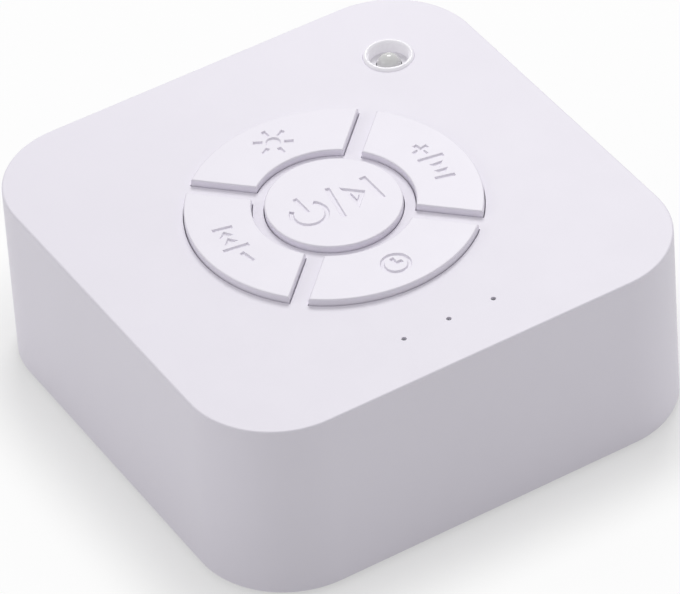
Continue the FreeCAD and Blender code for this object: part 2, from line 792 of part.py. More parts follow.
def board_screws():
    """Four screws that hold the board to its posts."""
    size = (BOARD_SCREW_R, BOARD_SCREW_HEAD_R, BOARD_SCREW_HEAD_H, BOARD_T + BOARD_SCREW_BITE)
    places = corners(BOARD_POST_X, BOARD_POST_Y)
    return Part.makeCompound([screw(x, y, BOARD_Z0, 1, *size) for x, y in places])


def speaker_screws():
    """Four screws that hold the speaker's frame to the cover."""
    size = (SPK_SCREW_R, SPK_SCREW_HEAD_R, SPK_SCREW_HEAD_H, SPK_FLANGE_T + SPK_SCREW_BITE)
    places = corners(SPK_SCREW_OFFSET, SPK_SCREW_OFFSET, 0, SPK_Y)
    return Part.makeCompound([screw(x, y, SPK_FLANGE_TOP, -1, *size) for x, y in places])


def rubber_feet():
    """Four round feet bonded in the cover's recesses."""
    feet = []
    for x, y in corners(FOOT_X, FOOT_Y):
        foot = rod(FOOT_R, 0, COVER_Z0 + FOOT_RECESS, x, y)
        rim = [e for e in foot.Edges if e.BoundBox.ZMax < SAME_Z]
        feet.append(foot.makeFillet(FOOT_EDGE_R, rim))
    return Part.makeCompound(feet)


# Speaker, from the cover upwards


def speaker_gasket():
    """Foam ring that seals the frame to the cover."""
    return pipe(SPK_MOUTH_R + SPK_GASKET_W, SPK_MOUTH_R, COVER_TOP, SPK_Z0, 0, SPK_Y)


def speaker_basket():
    """Pressed frame: square flange, open cone with windows, and magnet seat."""
    wire = rounded_rect(SPK_HALF, SPK_HALF, SPK_CORNER_R, SPK_Z0, 0, SPK_Y)
    flange = prism(wire, SPK_FLANGE_T).cut(rod(SPK_MOUTH_R, SPK_Z0 - 1, SPK_FLANGE_TOP + 1, 0, SPK_Y))
    top = BASKET_TOP - BASKET_T
    cone = turned(
        [
            (BASKET_FOOT_R, SPK_FLANGE_TOP),
            (BASKET_LEDGE_R_OUT, LEDGE_Z),
            (BASKET_LEDGE_R_IN, LEDGE_Z),
            (BASKET_LEDGE_R_IN, top),
            (BASKET_HOLE_R, top),
            (BASKET_HOLE_R, BASKET_TOP),
            (BASKET_LEDGE_R_IN + BASKET_T, BASKET_TOP),
            (BASKET_LEDGE_R_IN + BASKET_T, LEDGE_Z + BASKET_T),
            (BASKET_LEDGE_R_OUT + BASKET_T / 2, LEDGE_Z + BASKET_T),
            (BASKET_FOOT_R + BASKET_T, SPK_FLANGE_TOP),
        ],
        0,
        SPK_Y,
    )
    window_z0 = SPK_FLANGE_TOP + BASKET_T
    window_h = BASKET_LEDGE_RISE - 2 * BASKET_T
    windows = [
        block(0, SPK_Y, 3 * SPK_HALF, BASKET_WINDOW_W, window_z0, window_h),
        block(0, SPK_Y, BASKET_WINDOW_W, 3 * SPK_HALF, window_z0, window_h),
    ]
    holes = [
        rod(SPK_SCREW_R + THROUGH_CLEAR, SPK_Z0 - 1, SPK_FLANGE_TOP + 1, x, y)
        for x, y in corners(SPK_SCREW_OFFSET, SPK_SCREW_OFFSET, 0, SPK_Y)
    ]
    return fused([flange, cone.cut(windows)]).cut(holes)


def speaker_top_plate():
    """Steel ring around the coil, on the basket's seat."""
    bore = COIL_R + COIL_T + COIL_AIR_GAP
    return pipe(PLATE_R, bore, BASKET_TOP, PLATE_TOP, 0, SPK_Y)


def speaker_magnet():
    """Ring magnet between the top plate and the yoke."""
    return pipe(MAGNET_R, MAGNET_HOLE_R, PLATE_TOP, MAGNET_TOP, 0, SPK_Y)


def speaker_yoke():
    """Back plate with the pole that the coil moves on."""
    plate = rod(PLATE_R, MAGNET_TOP, MAGNET_TOP + PLATE_T, 0, SPK_Y)
    pole = rod(POLE_R, BASKET_TOP, MAGNET_TOP + PLATE_T, 0, SPK_Y)
    return fused([plate, pole])


def cone_lip_z():
    """Height of the cone's flat lip, where the surround is bonded on it."""
    return SPK_FLANGE_TOP


def cone_height(radius):
    """Height of the cone's upper face at a radius."""
    outer = CONE_R - CONE_LIP_W
    inner = COIL_R + COIL_T
    return cone_lip_z() + CONE_DEPTH * (outer - radius) / (outer - inner)


def speaker_cone():
    """Paper cone with a flat lip and a collar around the coil."""
    neck = COIL_R + COIL_T + GLUE_GAP
    outer = CONE_R - CONE_LIP_W
    collar_top = cone_height(neck) + CONE_COLLAR_H
    return turned(
        [
            (CONE_R, cone_lip_z() - CONE_T),
            (CONE_R, cone_lip_z()),
            (outer, cone_lip_z()),
            (neck + CONE_T, cone_height(neck + CONE_T)),
            (neck + CONE_T, collar_top),
            (neck, collar_top),
            (neck, cone_height(neck) - CONE_T),
            (outer, cone_lip_z() - CONE_T),
        ],
        0,
        SPK_Y,
    )


def speaker_coil():
    """Voice coil on its former, around the pole."""
    z0 = SPK_FLANGE_TOP + COIL_RISE
    return pipe(COIL_R + COIL_T, COIL_R, z0, z0 + COIL_LEN, 0, SPK_Y)


def ball_cap(radius, apex_z, rim_z):
    """Part of a ball below rim_z, with its lowest point at apex_z."""
    angle = math.degrees(math.asin((rim_z - apex_z - radius) / radius))
    centre = Vector(0, SPK_Y, apex_z + radius)
    return Part.makeSphere(radius, centre, Vector(0, 0, 1), -90, angle, 360)


def speaker_dust_cap():
    """Domed cap that closes the middle of the cone."""
    rim_z = cone_height(DUST_CAP_R) - CONE_T - SEAT_GAP
    apex_z = rim_z - DUST_CAP_DROP
    radius = (DUST_CAP_R ** 2 + DUST_CAP_DROP ** 2) / (2 * DUST_CAP_DROP)
    outer = ball_cap(radius, apex_z, rim_z)
    return outer.cut(ball_cap(radius - DUST_CAP_T, apex_z + DUST_CAP_T, rim_z))


def speaker_surround():
    """Rubber half roll between the cone's lip and the frame."""
    rim_r = SPK_MOUTH_R + SURROUND_ROLL_GAP
    low = cone_lip_z()
    roll_mid = (CONE_R + rim_r) / 2
    inner = CONE_R - CONE_LIP_W / 2
    rise = SURROUND_ROLL_RISE
    outer_r = BASKET_FOOT_R - SURROUND_RIM_GAP

    def path(grow):
        """Points of the roll's lower or upper face, from the cone outwards."""
        return [
            Vector(inner, 0, low + grow),
            Vector(CONE_R - grow, 0, low + grow),
            Vector(roll_mid, 0, low + rise + grow),
            Vector(rim_r + grow, 0, low + grow),
            Vector(outer_r, 0, low + grow),
        ]

    under = path(0)
    over = path(SURROUND_T)
    edges = [
        Part.LineSegment(under[0], under[1]).toShape(),
        Part.Arc(under[1], under[2], under[3]).toShape(),
        Part.LineSegment(under[3], under[4]).toShape(),
        Part.LineSegment(under[4], over[4]).toShape(),
        Part.LineSegment(over[4], over[3]).toShape(),
        Part.Arc(over[3], over[2], over[1]).toShape(),
        Part.LineSegment(over[1], over[0]).toShape(),
        Part.LineSegment(over[0], under[0]).toShape(),
    ]
    ring = Part.Face(Part.Wire(edges)).revolve(Vector(0, 0, 0), Vector(0, 0, 1), 360)
    ring.translate(Vector(0, SPK_Y, 0))
    return ring


def speaker_spider():
    """Sprung cloth ring that centres the coil under the basket's ledge."""
    outer = (BASKET_LEDGE_R_IN + BASKET_LEDGE_R_OUT) / 2
    return pipe(outer, COIL_R + COIL_T, LEDGE_Z - SPIDER_T, LEDGE_Z, 0, SPK_Y)


def strip_x():
    """Middle of the speaker's terminal strip, along x."""
    return SPK_HALF - STRIP_FROM_EDGE - STRIP_T / 2


def speaker_terminals():
    """Upright terminal strip on the speaker's flange."""
    strip = block(strip_x(), STRIP_Y, STRIP_T, STRIP_W, SPK_FLANGE_TOP, STRIP_H)
    start_x = strip_x() - STRIP_T
    hole_z = SPK_FLANGE_TOP + STRIP_H * 0.75
    cuts = []
    for y in (STRIP_Y - STRIP_W / 3, STRIP_Y + STRIP_W / 3):
        cuts.append(Part.makeCylinder(STRIP_HOLE_R, 2 * STRIP_T, Vector(start_x, y, hole_z), Vector(1, 0, 0)))
    return strip.cut(cuts)


# Plugs and leads


def speaker_lead_x():
    """Distance along x where the speaker's leads rise to their plug."""
    return strip_x() + STRIP_T / 2 + SPK_LEAD_REACH


def cell_lead_x():
    """Distance along x where the cell's leads rise to their plug."""
    return CELL_LEN / 2 + CELL_LEAD_REACH


def lead_plug(x, y):
    """White plug body that hangs under the board."""
    plug = block(x, y, PLUG_W, PLUG_L, BOARD_Z0 - PLUG_H, PLUG_H)
    key_slot = block(x, y, PLUG_W / 2, PLUG_L + 2, BOARD_Z0 - PLUG_H / 3, PLUG_H / 9)
    return plug.cut(key_slot)


def bent_lead(start_x, rise_x, y, low_z):
    """Insulated lead that runs out along x and turns up to a plug."""
    top_z = BOARD_Z0 - PLUG_H
    bend_x = rise_x - LEAD_BEND_R
    mid = LEAD_BEND_R * math.sin(math.radians(45))
    points = [
        Vector(start_x, y, low_z),
        Vector(bend_x, y, low_z),
        Vector(bend_x + mid, y, low_z + LEAD_BEND_R - mid),
        Vector(rise_x, y, low_z + LEAD_BEND_R),
        Vector(rise_x, y, top_z),
    ]
    path = Part.Wire(
        [
            Part.LineSegment(points[0], points[1]).toShape(),
            Part.Arc(points[1], points[2], points[3]).toShape(),
            Part.LineSegment(points[3], points[4]).toShape(),
        ]
    )
    ring = Part.Wire(Part.makeCircle(LEAD_R, points[0], Vector(1, 0, 0)))
    return path.makePipeShell([ring], True, False)


def lead_pair(start_x, rise_x, y, low_z):
    """The two leads of one plug."""
    return Part.makeCompound(
        [bent_lead(start_x, rise_x, y + side * LEAD_PITCH / 2, low_z) for side in (-1, 1)]
    )


# Charging socket, night light and timer dots


def usb_mouth_y():
    """Distance of the socket's mouth from the middle, just inside the back wall."""
    return half_at(usb_centre_z()) - WALL - USB_WALL_GAP


def usb_socket():
    """Pressed metal shell of the charging socket."""
    y1 = usb_mouth_y()
    y0 = y1 - USB_LEN
    shell = oval_y(USB_W, USB_H, usb_centre_z(), y0, y1)
    inner = oval_y(USB_W - 2 * USB_WALL, USB_H - 2 * USB_WALL, usb_centre_z(), y0 - 1, y1 + 1)
    return shell.cut(inner)


def usb_tongue():
    """Insulator of the charging socket with its contact tongue."""
    y0 = usb_mouth_y() - USB_LEN
    gap = USB_WALL + 0.05
    back = oval_y(USB_W - 2 * gap, USB_H - 2 * gap, usb_centre_z(), y0, y0 + TONGUE_BLOCK)
    length = USB_LEN - TONGUE_SHORT
    tongue = block(0, y0 + length / 2, TONGUE_W, length, usb_centre_z() - TONGUE_T / 2, TONGUE_T)
    return fused([back, tongue])


def night_light_bezel():
    """Clear ring in the panel with a flange under it."""
    outer = LENS_HOLE_R - LENS_GAP
    flange_z0 = PANEL_UNDER - LENS_FLANGE_T
    barrel = rod(outer, flange_z0, PANEL_Z + LENS_PROUD, LENS_XY, LENS_XY)
    flange = rod(LENS_FLANGE_R, flange_z0, PANEL_UNDER, LENS_XY, LENS_XY)
    ring = fused([barrel, flange]).cut(rod(LENS_BORE_R, flange_z0 - 1, PANEL_Z + 2, LENS_XY, LENS_XY))
    return soften_top(ring, PANEL_Z + LENS_PROUD, LENS_EDGE_R)


def night_light_holder():
    """Dark spacer that stands on the board, closes the cup and holds the lamp."""
    shoulder = PANEL_UNDER - LENS_FLANGE_T
    base = rod(LENS_FLANGE_R, BOARD_TOP, shoulder, LENS_XY, LENS_XY)
    neck = rod(LENS_BORE_R - HOLDER_GAP, BOARD_TOP, PANEL_Z - LENS_CUP_DEPTH, LENS_XY, LENS_XY)
    bore = rod(LAMP_R + LAMP_GAP, BOARD_TOP - 1, PANEL_Z, LENS_XY, LENS_XY)
    return fused([base, neck]).cut(bore)


def night_light_lamp():
    """Round lamp with a domed end."""
    dome_top = PANEL_Z - LENS_CUP_DEPTH + LAMP_DOME_RISE
    straight = rod(LAMP_R, BOARD_TOP, dome_top - LAMP_R, LENS_XY, LENS_XY)
    dome = Part.makeSphere(LAMP_R, Vector(LENS_XY, LENS_XY, dome_top - LAMP_R))
    return fused([straight, dome])


def timer_lamps():
    """Three small lamps on the board under the timer dots."""
    return Part.makeCompound(
        [block(x, DOT_Y, TIMER_LAMP_L, TIMER_LAMP_W, BOARD_TOP, TIMER_LAMP_H) for x in dot_places()]
    )


def timer_light_guide():
    """Clear strip under the panel with a pin in each dot and a leg over each lamp."""
    length = DOT_PITCH * (DOT_COUNT - 1) + 2 * GUIDE_END
    strip = block(0, DOT_Y, length, GUIDE_W, PANEL_UNDER - GUIDE_T, GUIDE_T)
    parts = [strip]
    for x in dot_places():
        parts.append(rod(DOT_R - DOT_PIN_GAP, PANEL_UNDER - GUIDE_T, PANEL_Z - DOT_PIN_SUNK, x, DOT_Y))
        leg_z0 = BOARD_TOP + TIMER_LAMP_H + TIMER_LAMP_GAP
        parts.append(rod(GUIDE_LEG_R, leg_z0, PANEL_UNDER - GUIDE_T / 2, x, DOT_Y))
    return fused(parts)


def all_parts():
    """Every node of the machine, by name."""
    parts = {"top_shell": top_shell(), "bottom_cover": bottom_cover()}
    for name in LEGENDS:
        parts[name + "_key"] = key(name)
        parts[name + "_switch_plunger"] = switch_plunger(name)
        parts[name + "_switch"] = switch_body(name)
    parts["main_board"] = main_board()
    for name in CHIPS:
        parts[name] = board_chip(name)
    parts["board_capacitors"] = board_capacitors()
    parts["board_screws"] = board_screws()
    parts["housing_screws"] = housing_screws()
    parts["rubber_feet"] = rubber_feet()
    parts["speaker_gasket"] = speaker_gasket()
    parts["speaker_basket"] = speaker_basket()
    parts["speaker_screws"] = speaker_screws()
    parts["speaker_top_plate"] = speaker_top_plate()
    parts["speaker_magnet"] = speaker_magnet()
    parts["speaker_yoke"] = speaker_yoke()
    parts["speaker_cone"] = speaker_cone()
    parts["speaker_dust_cap"] = speaker_dust_cap()
    parts["speaker_coil"] = speaker_coil()
    parts["speaker_surround"] = speaker_surround()
    parts["speaker_spider"] = speaker_spider()
    parts["speaker_terminals"] = speaker_terminals()
    parts["speaker_plug"] = lead_plug(speaker_lead_x(), STRIP_Y)
    parts["speaker_leads"] = lead_pair(
        strip_x() + STRIP_T / 2, speaker_lead_x(), STRIP_Y, SPK_FLANGE_TOP + LEAD_RISE
    )
    parts["battery_cell"] = battery_cell()
    parts["battery_foam"] = battery_foam()
    parts["battery_plug"] = lead_plug(cell_lead_x(), CELL_Y)
    parts["battery_leads"] = lead_pair(CELL_LEN / 2, cell_lead_x(), CELL_Y, CELL_Z)
    parts["usb_socket"] = usb_socket()
    parts["usb_tongue"] = usb_tongue()
    parts["night_light_bezel"] = night_light_bezel()
    parts["night_light_holder"] = night_light_holder()
    parts["night_light_lamp"] = night_light_lamp()
    parts["timer_lamps"] = timer_lamps()
    parts["timer_light_guide"] = timer_light_guide()
    return parts


def main():
    """Build every sub-part and write it as a STEP file."""
    os.makedirs("parts", exist_ok=True)
    for name, shape in all_parts().items():
        shape.exportStep("parts/" + name + ".step")
        box = shape.BoundBox
        size = " x ".join(f"{length:.1f}" for length in (box.XLength, box.YLength, box.ZLength))
        print(f"{name}: {len(shape.Solids)} solids, {shape.Volume:.1f} mm3, {size} mm")


main()
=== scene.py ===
import json
import logging
import math
from contextlib import contextmanager
from dataclasses import dataclass
from enum import Enum, IntEnum
from typing import Callable, Iterator, Mapping, Optional, Sequence, Union

import bpy
from mathutils import Matrix, Vector


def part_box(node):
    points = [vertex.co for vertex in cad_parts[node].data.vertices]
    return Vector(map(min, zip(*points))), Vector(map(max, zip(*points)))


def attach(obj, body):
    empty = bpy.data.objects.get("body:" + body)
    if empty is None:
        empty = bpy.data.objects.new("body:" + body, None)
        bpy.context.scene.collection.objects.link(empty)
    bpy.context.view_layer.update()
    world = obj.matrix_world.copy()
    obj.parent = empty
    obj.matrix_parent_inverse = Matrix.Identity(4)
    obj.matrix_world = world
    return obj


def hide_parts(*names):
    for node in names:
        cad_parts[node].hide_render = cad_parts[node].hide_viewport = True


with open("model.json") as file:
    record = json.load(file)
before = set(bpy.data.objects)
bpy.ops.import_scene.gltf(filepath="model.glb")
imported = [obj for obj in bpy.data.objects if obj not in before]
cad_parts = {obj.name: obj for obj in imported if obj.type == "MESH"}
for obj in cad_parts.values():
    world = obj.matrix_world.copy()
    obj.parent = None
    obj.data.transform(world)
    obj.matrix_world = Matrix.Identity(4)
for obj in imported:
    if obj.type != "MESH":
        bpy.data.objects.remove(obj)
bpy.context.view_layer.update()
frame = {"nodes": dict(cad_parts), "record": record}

LOG = logging.getLogger("sound_machine")

MM = 0.001
MERGE = 0.0005 * MM
CORNER_STEPS = 24
RIM_STEPS = 6
SMOOTH_DEG = 32.0
FLAT_DEG = 0.2
FULL_TURN = 360.0
MADE_AT_DEG = 90.0
SRGB_KNEE, SRGB_SLOPE, SRGB_SHIFT, SRGB_POWER = 0.04045, 12.92, 0.055, 2.4
MIX_FACTOR, MIX_FIRST, MIX_SECOND, MIX_RESULT = 0, 6, 7, 2

Colour = tuple[float, float, float]
Point = tuple[float, float, float]
Pair = tuple[float, float]
Piece = bpy.types.Object
Material = bpy.types.Material
Sockets = Mapping[str, object]
Test = Callable[[Vector], bool]


def from_screen(red: int, green: int, blue: int) -> Colour:
    """Turn an eight-bit screen colour into scene light.

    Args:
        red: Red, 0 to 255.
        green: Green, 0 to 255.
        blue: Blue, 0 to 255.

    Returns:
        The linear colour that shows as the screen colour.
    """
    values = []
    for level in (red, green, blue):
        share = level / 255
        curved = ((share + SRGB_SHIFT) / (1 + SRGB_SHIFT)) ** SRGB_POWER
        values.append(share / SRGB_SLOPE if share <= SRGB_KNEE else curved)
    return tuple(values)


def at_level(z: float) -> Test:
    """Test for the points that lie at a height."""
    return lambda point: abs(point.z - z) < MERGE


class Sides(IntEnum):
    """How many sides stand for a circle."""

    HOLE = 24
    SMALL = 32
    MARK = 48
    DRUM = 64
    BORE = 96
    KEY = 128


class Cut(Enum):
    """What a tool does to a piece."""

    ADD = "UNION"
    AWAY = "DIFFERENCE"


class Signal:
    """A shader output that takes part in Python arithmetic."""

    def __init__(self, graph: "ShaderGraph", socket: bpy.types.NodeSocket) -> None:
        """Wrap a node's output socket."""
        self.graph = graph
        self.socket = socket

    def __add__(self, other: "Value") -> "Signal":
        """Sum."""
        return self.graph.maths("ADD", self, other)

    def __sub__(self, other: "Value") -> "Signal":
        """Difference."""
        return self.graph.maths("SUBTRACT", self, other)

    def __rsub__(self, other: "Value") -> "Signal":
        """Difference from a number."""
        return self.graph.maths("SUBTRACT", other, self)

    def __mul__(self, other: "Value") -> "Signal":
        """Product."""
        return self.graph.maths("MULTIPLY", self, other)

    def __truediv__(self, other: "Value") -> "Signal":
        """Quotient."""
        return self.graph.maths("DIVIDE", self, other)

    def __pow__(self, other: "Value") -> "Signal":
        """Power."""
        return self.graph.maths("POWER", self, other)

    def __gt__(self, other: "Value") -> "Signal":
        """One where this is the larger, else nought."""
        return self.graph.maths("GREATER_THAN", self, other)

    __radd__ = __add__
    __rmul__ = __mul__

    def sway(self, span: float) -> "Signal":
        """This noise about nought instead of one half, spread over a span."""
        return (self - 0.5) * span


Value = Union[Signal, float]


class ShaderGraph:
    """The nodes of a material or of the world."""

    def __init__(self, owner: bpy.types.ID) -> None:
        """Start with an empty node tree."""
        owner.use_nodes = True
        self.owner = owner
        self.tree = owner.node_tree
        self.tree.nodes.clear()

    def add(
        self,
        kind: str,
        settings: Optional[Mapping[str, object]] = None,
        sockets: Optional[Mapping[Union[str, int], object]] = None,
    ) -> bpy.types.Node:
        """Add one node.

        Args:
            kind: The node's type.
            settings: Properties set before the sockets; "stops" lists a ramp's (place, colour) pairs.
            sockets: Values or signals for the inputs, by name or number.

        Returns:
            The new node.
        """
        node = self.tree.nodes.new(kind)
        for name, value in (settings or {}).items():
            if name == "stops":
                self._set_stops(node.color_ramp, value)
            else:
                setattr(node, name, value)
        for key, value in (sockets or {}).items():
            target = node.inputs[key]
            if isinstance(value, Signal):
                self.tree.links.new(value.socket, target)
            else:
                target.default_value = value
        return node

    @staticmethod
    def _set_stops(ramp: bpy.types.ColorRamp, stops: Sequence[tuple[float, Colour]]) -> None:
        """Give a ramp its stops."""
        while len(ramp.elements) < len(stops):
            ramp.elements.new(1.0)
        for element, (place, colour) in zip(ramp.elements, stops):
            element.position = place
            element.color = (*colour, 1.0)

    def out(self, node: bpy.types.Node, key: Union[str, int] = 0) -> Signal:
        """Wrap one of a node's outputs."""
        return Signal(self, node.outputs[key])

    def maths(self, operation: str, *values: Value) -> Signal:
        """Add a Math node for an operation on values."""
        sockets = dict(enumerate(values))
        return self.out(self.add("ShaderNodeMath", {"operation": operation}, sockets))

    def place(self) -> Signal:
        """Object coordinates, in metres in the part's own frame."""
        return self.out(self.add("ShaderNodeTexCoord"), "Object")

    def axes(self) -> tuple[Signal, Signal, Signal]:
        """The x, y and z of the object coordinates."""
        split = self.add("ShaderNodeSeparateXYZ", sockets={0: self.place()})
        return self.out(split, 0), self.out(split, 1), self.out(split, 2)

    def stretched(self, scale: Point) -> Signal:
        """Object coordinates multiplied axis by axis."""
        node = self.add("ShaderNodeMapping", sockets={"Vector": self.place(), "Scale": scale})
        return self.out(node)

    def noise(self, feature_mm: float, detail: float = 2.0, place: Optional[Signal] = None) -> Signal:
        """Soft noise.

        Args:
            feature_mm: Size of its largest features.
            detail: Number of finer layers.
            place: Coordinates, or None for the object's own.

        Returns:
            A value around one half.
        """
        sockets = {
            "Vector": place or self.place(),
            "Scale": 1 / (feature_mm * MM),
            "Detail": detail,
            "Roughness": 0.55,
        }
        return self.out(self.add("ShaderNodeTexNoise", sockets=sockets), 0)

    def cells(self, cell_mm: float) -> Signal:
        """Distance pattern of random cells of about that size."""
        sockets = {"Vector": self.place(), "Scale": 1 / (cell_mm * MM)}
        return self.out(self.add("ShaderNodeTexVoronoi", sockets=sockets), "Distance")

    def ripple(self, signal: Signal, pitch_mm: float) -> Signal:
        """Sine along a length signal, from nought to one with that pitch."""
        return self.maths("SINE", signal * (2 * math.pi / (pitch_mm * MM))) * 0.5 + 0.5

    def blend(self, factor: Value, first: object, second: object) -> Signal:
        """Mix two colours, given as tuples or signals."""
        sides = [side if isinstance(side, Signal) else (*side, 1.0) for side in (first, second)]
        sockets = {MIX_FACTOR: factor, MIX_FIRST: sides[0], MIX_SECOND: sides[1]}
        return self.out(self.add("ShaderNodeMix", {"data_type": "RGBA"}, sockets), MIX_RESULT)

    def tones(self, factor: Value, colour: Colour, low: float, high: float) -> Signal:
        """Mix two tones of one colour, given as factors of it."""
        return self.blend(factor, lighter(colour, low), lighter(colour, high))

    def relief(self, height: Signal, depth_mm: float) -> Signal:
        """Normal of a surface whose height signal spans that depth."""
        sockets = {"Height": height, "Distance": depth_mm * MM}
        return self.out(self.add("ShaderNodeBump", sockets=sockets))

    def seen(self) -> Signal:
        """One for the rays that show a thing to the camera, also mirrored or through a clear piece."""
        path = self.add("ShaderNodeLightPath")
        kinds = ("Camera", "Glossy", "Transmission")
        camera, glossy, through = (self.out(path, f"Is {kind} Ray") for kind in kinds)
        return self.maths("MAXIMUM", self.maths("MAXIMUM", camera, glossy), through)

    def end(self, kind: str, surface: Signal) -> None:
        """Lead a surface to an output node of that type."""
        self.add(kind, sockets={"Surface": surface})


def lighter(colour: Colour, factor: float) -> Colour:
    """Multiply a colour by a factor."""
    return tuple(min(1.0, part * factor) for part in colour)


class Finish:
    """What the pieces of a material slot are made of."""

    def sockets(self, graph: ShaderGraph) -> Sockets:
        """Values and signals for the sockets of a Principled surface."""
        raise NotImplementedError

    def shade(self, name: str) -> Material:
        """Build the material."""
        graph = ShaderGraph(bpy.data.materials.new(name))
        shader = graph.add("ShaderNodeBsdfPrincipled", sockets=self.sockets(graph))
        graph.end("ShaderNodeOutputMaterial", graph.out(shader))
        return graph.owner


@dataclass(frozen=True)
class MouldedPlastic(Finish):
    """Injection-moulded plastic with a fine spark-eroded skin.

    Attributes:
        colour: Its colour.
        grain_mm: Size of the skin's grain.
        depth_mm: Depth of the grain.
        roughness: Mean roughness.
        drift: Share by which the colour drifts over the piece.
    """

    colour: Colour
    grain_mm: float = 0.28
    depth_mm: float = 0.006
    roughness: float = 0.46
    drift: float = 0.02

    def sockets(self, graph: ShaderGraph) -> Sockets:
        """Colour, gloss and relief."""
        clouds = graph.noise(38.0)
        grain = graph.noise(self.grain_mm, 3.0)
        flow = graph.noise(6.0)
        base = graph.tones(clouds, self.colour, 1 - self.drift, 1 + self.drift)
        return {
            "Base Color": base,
            "Roughness": self.roughness + grain.sway(0.10) + flow.sway(0.05),
            "Normal": graph.relief(grain, self.depth_mm),
        }


@dataclass(frozen=True)
class PolishedPlastic(Finish):
    """Bright polished plastic, clear or filled.

    Attributes:
        colour: Its colour.
        roughness: Mean roughness.
        clear: Share of the light that it lets through.
        milk: Weight of the light that scatters inside it.
        glow: Painted light: emission in the plastic's own colour that makes it brighter than its lighting,
            though it is no lamp.
    """

    colour: Colour
    roughness: float = 0.12
    clear: float = 0.0
    milk: float = 0.0
    glow: float = 0.0

    def sockets(self, graph: ShaderGraph) -> Sockets:
        """Colour, gloss and relief."""
        flow = graph.noise(3.0)
        haze = graph.noise(0.5)
        base = graph.tones(flow, self.colour, 0.97, 1.0)
        return {
            "Base Color": base,
            "Roughness": self.roughness + haze.sway(0.06),
            "Normal": graph.relief(flow, 0.01),
            "Transmission Weight": self.clear,
            "Subsurface Weight": self.milk,
            "Subsurface Radius": (1.0, 1.0, 1.0),
            "Subsurface Scale": 0.6 * MM,
            "IOR": 1.49,
            # Painted light: the emission makes the plastic glow in its own colour, though it is no lamp.
            "Emission Color": base,
            "Emission Strength": self.glow / max(self.colour),
        }


@dataclass(frozen=True)
class SoftRubber(Finish):
    """Matt rubber with a dusty skin."""

    colour: Colour
    roughness: float = 0.78

    def sockets(self, graph: ShaderGraph) -> Sockets:
        """Colour, gloss and relief."""
        dust = graph.noise(2.2, 4.0)
        skin = graph.noise(0.22)
        return {
            "Base Color": graph.tones(dust, self.colour, 0.82, 1.25),
            "Roughness": self.roughness + dust.sway(0.16),
            "Normal": graph.relief(skin, 0.012),
        }


class Lay(Enum):
    """Direction in which a metal's fine marks run."""

    ALONG_X = (0.04, 1.0, 1.0)
    ALONG_Y = (1.0, 0.04, 1.0)
    ALONG_Z = (1.0, 1.0, 0.04)
    NONE = (1.0, 1.0, 1.0)


@dataclass(frozen=True)
class PlatedMetal(Finish):
    """Metal with fine drawn or rolled marks.

    Attributes:
        colour: Its reflection colour.
        lay: Direction of the marks.
        mark_mm: Width of a mark.
        roughness: Mean roughness.
        stain: Depth of the tint where the plating has dulled.
    """

    colour: Colour
    lay: Lay = Lay.NONE
    mark_mm: float = 0.12
    roughness: float = 0.32
    stain: float = 0.12

    def sockets(self, graph: ShaderGraph) -> Sockets:
        """Colour, gloss and relief."""
        marks = graph.noise(self.mark_mm, 2.0, graph.stretched(self.lay.value))
        clouds = graph.noise(2.5, 3.0)
        base = graph.tones(clouds, self.colour, 1 - self.stain, 1.0)
        return {
            "Base Color": base,
            "Metallic": 1.0,
            "Roughness": self.roughness + marks.sway(0.22) + clouds.sway(0.10),
            "Normal": graph.relief(marks, 0.004),
        }


@dataclass(frozen=True)
class CircuitBoard(Finish):
    """Lacquered board with copper traces that show through as paler lines."""

    lacquer: Colour
    trace: Colour
    pitch_mm: float = 1.6

    def sockets(self, graph: ShaderGraph) -> Sockets:
        """Colour, gloss and relief."""
        across, along, _ = graph.axes()
        bend = graph.noise(9.0, 0.0).sway(6 * MM)
        ways = graph.noise(16.0, 0.0) > 0.5
        lines_a = graph.ripple(across + bend, self.pitch_mm) > 0.72
        lines_b = graph.ripple(along + bend, self.pitch_mm) > 0.72
        traces = lines_a * ways + lines_b * (1 - ways)
        pads = 1 - (graph.cells(3.4) > 0.16)
        copper = graph.maths("MAXIMUM", traces, pads)
        weave = graph.noise(0.6)
        base = graph.blend(copper * 0.75, self.lacquer, self.trace)
        return {
            "Base Color": base,
            "Roughness": 0.34 + weave.sway(0.12),
            "Normal": graph.relief(copper, 0.03),
            "Coat Weight": 0.4,
        }


@dataclass(frozen=True)
class WovenCloth(Finish):
    """Plain weave of resin-stiffened threads, with pressed rings."""

    colour: Colour
    thread_mm: float = 0.45

    def sockets(self, graph: ShaderGraph) -> Sockets:
        """Colour, gloss and relief."""
        across, along, _ = graph.axes()
        weft = graph.ripple(across, self.thread_mm)
        warp = graph.ripple(along, self.thread_mm)
        weave = weft * (1 - warp) + warp * (1 - weft)
        fuzz = graph.noise(0.2)
        return {
            # Painted shade: the threads are coloured darker where the weave dips, by the same signal that
            # makes its relief.
            "Base Color": graph.tones(weave, self.colour, 0.6, 1.15),
            "Roughness": 0.74 + fuzz.sway(0.2),
            "Normal": graph.relief(weave * 0.8 + fuzz * 0.2, 0.08),
        }


@dataclass(frozen=True)
class PressedPulp(Finish):
    """Paper pulp with short random fibres."""

    colour: Colour

    def sockets(self, graph: ShaderGraph) -> Sockets:
        """Colour, gloss and relief."""
        fibres = graph.noise(0.5, 6.0)
        blots = graph.noise(5.0)
        mixed = fibres * 0.7 + blots * 0.3
        return {
            "Base Color": graph.tones(mixed, self.colour, 0.55, 1.5),
            "Roughness": 0.82 + fibres.sway(0.2),
            "Normal": graph.relief(fibres, 0.05),
        }


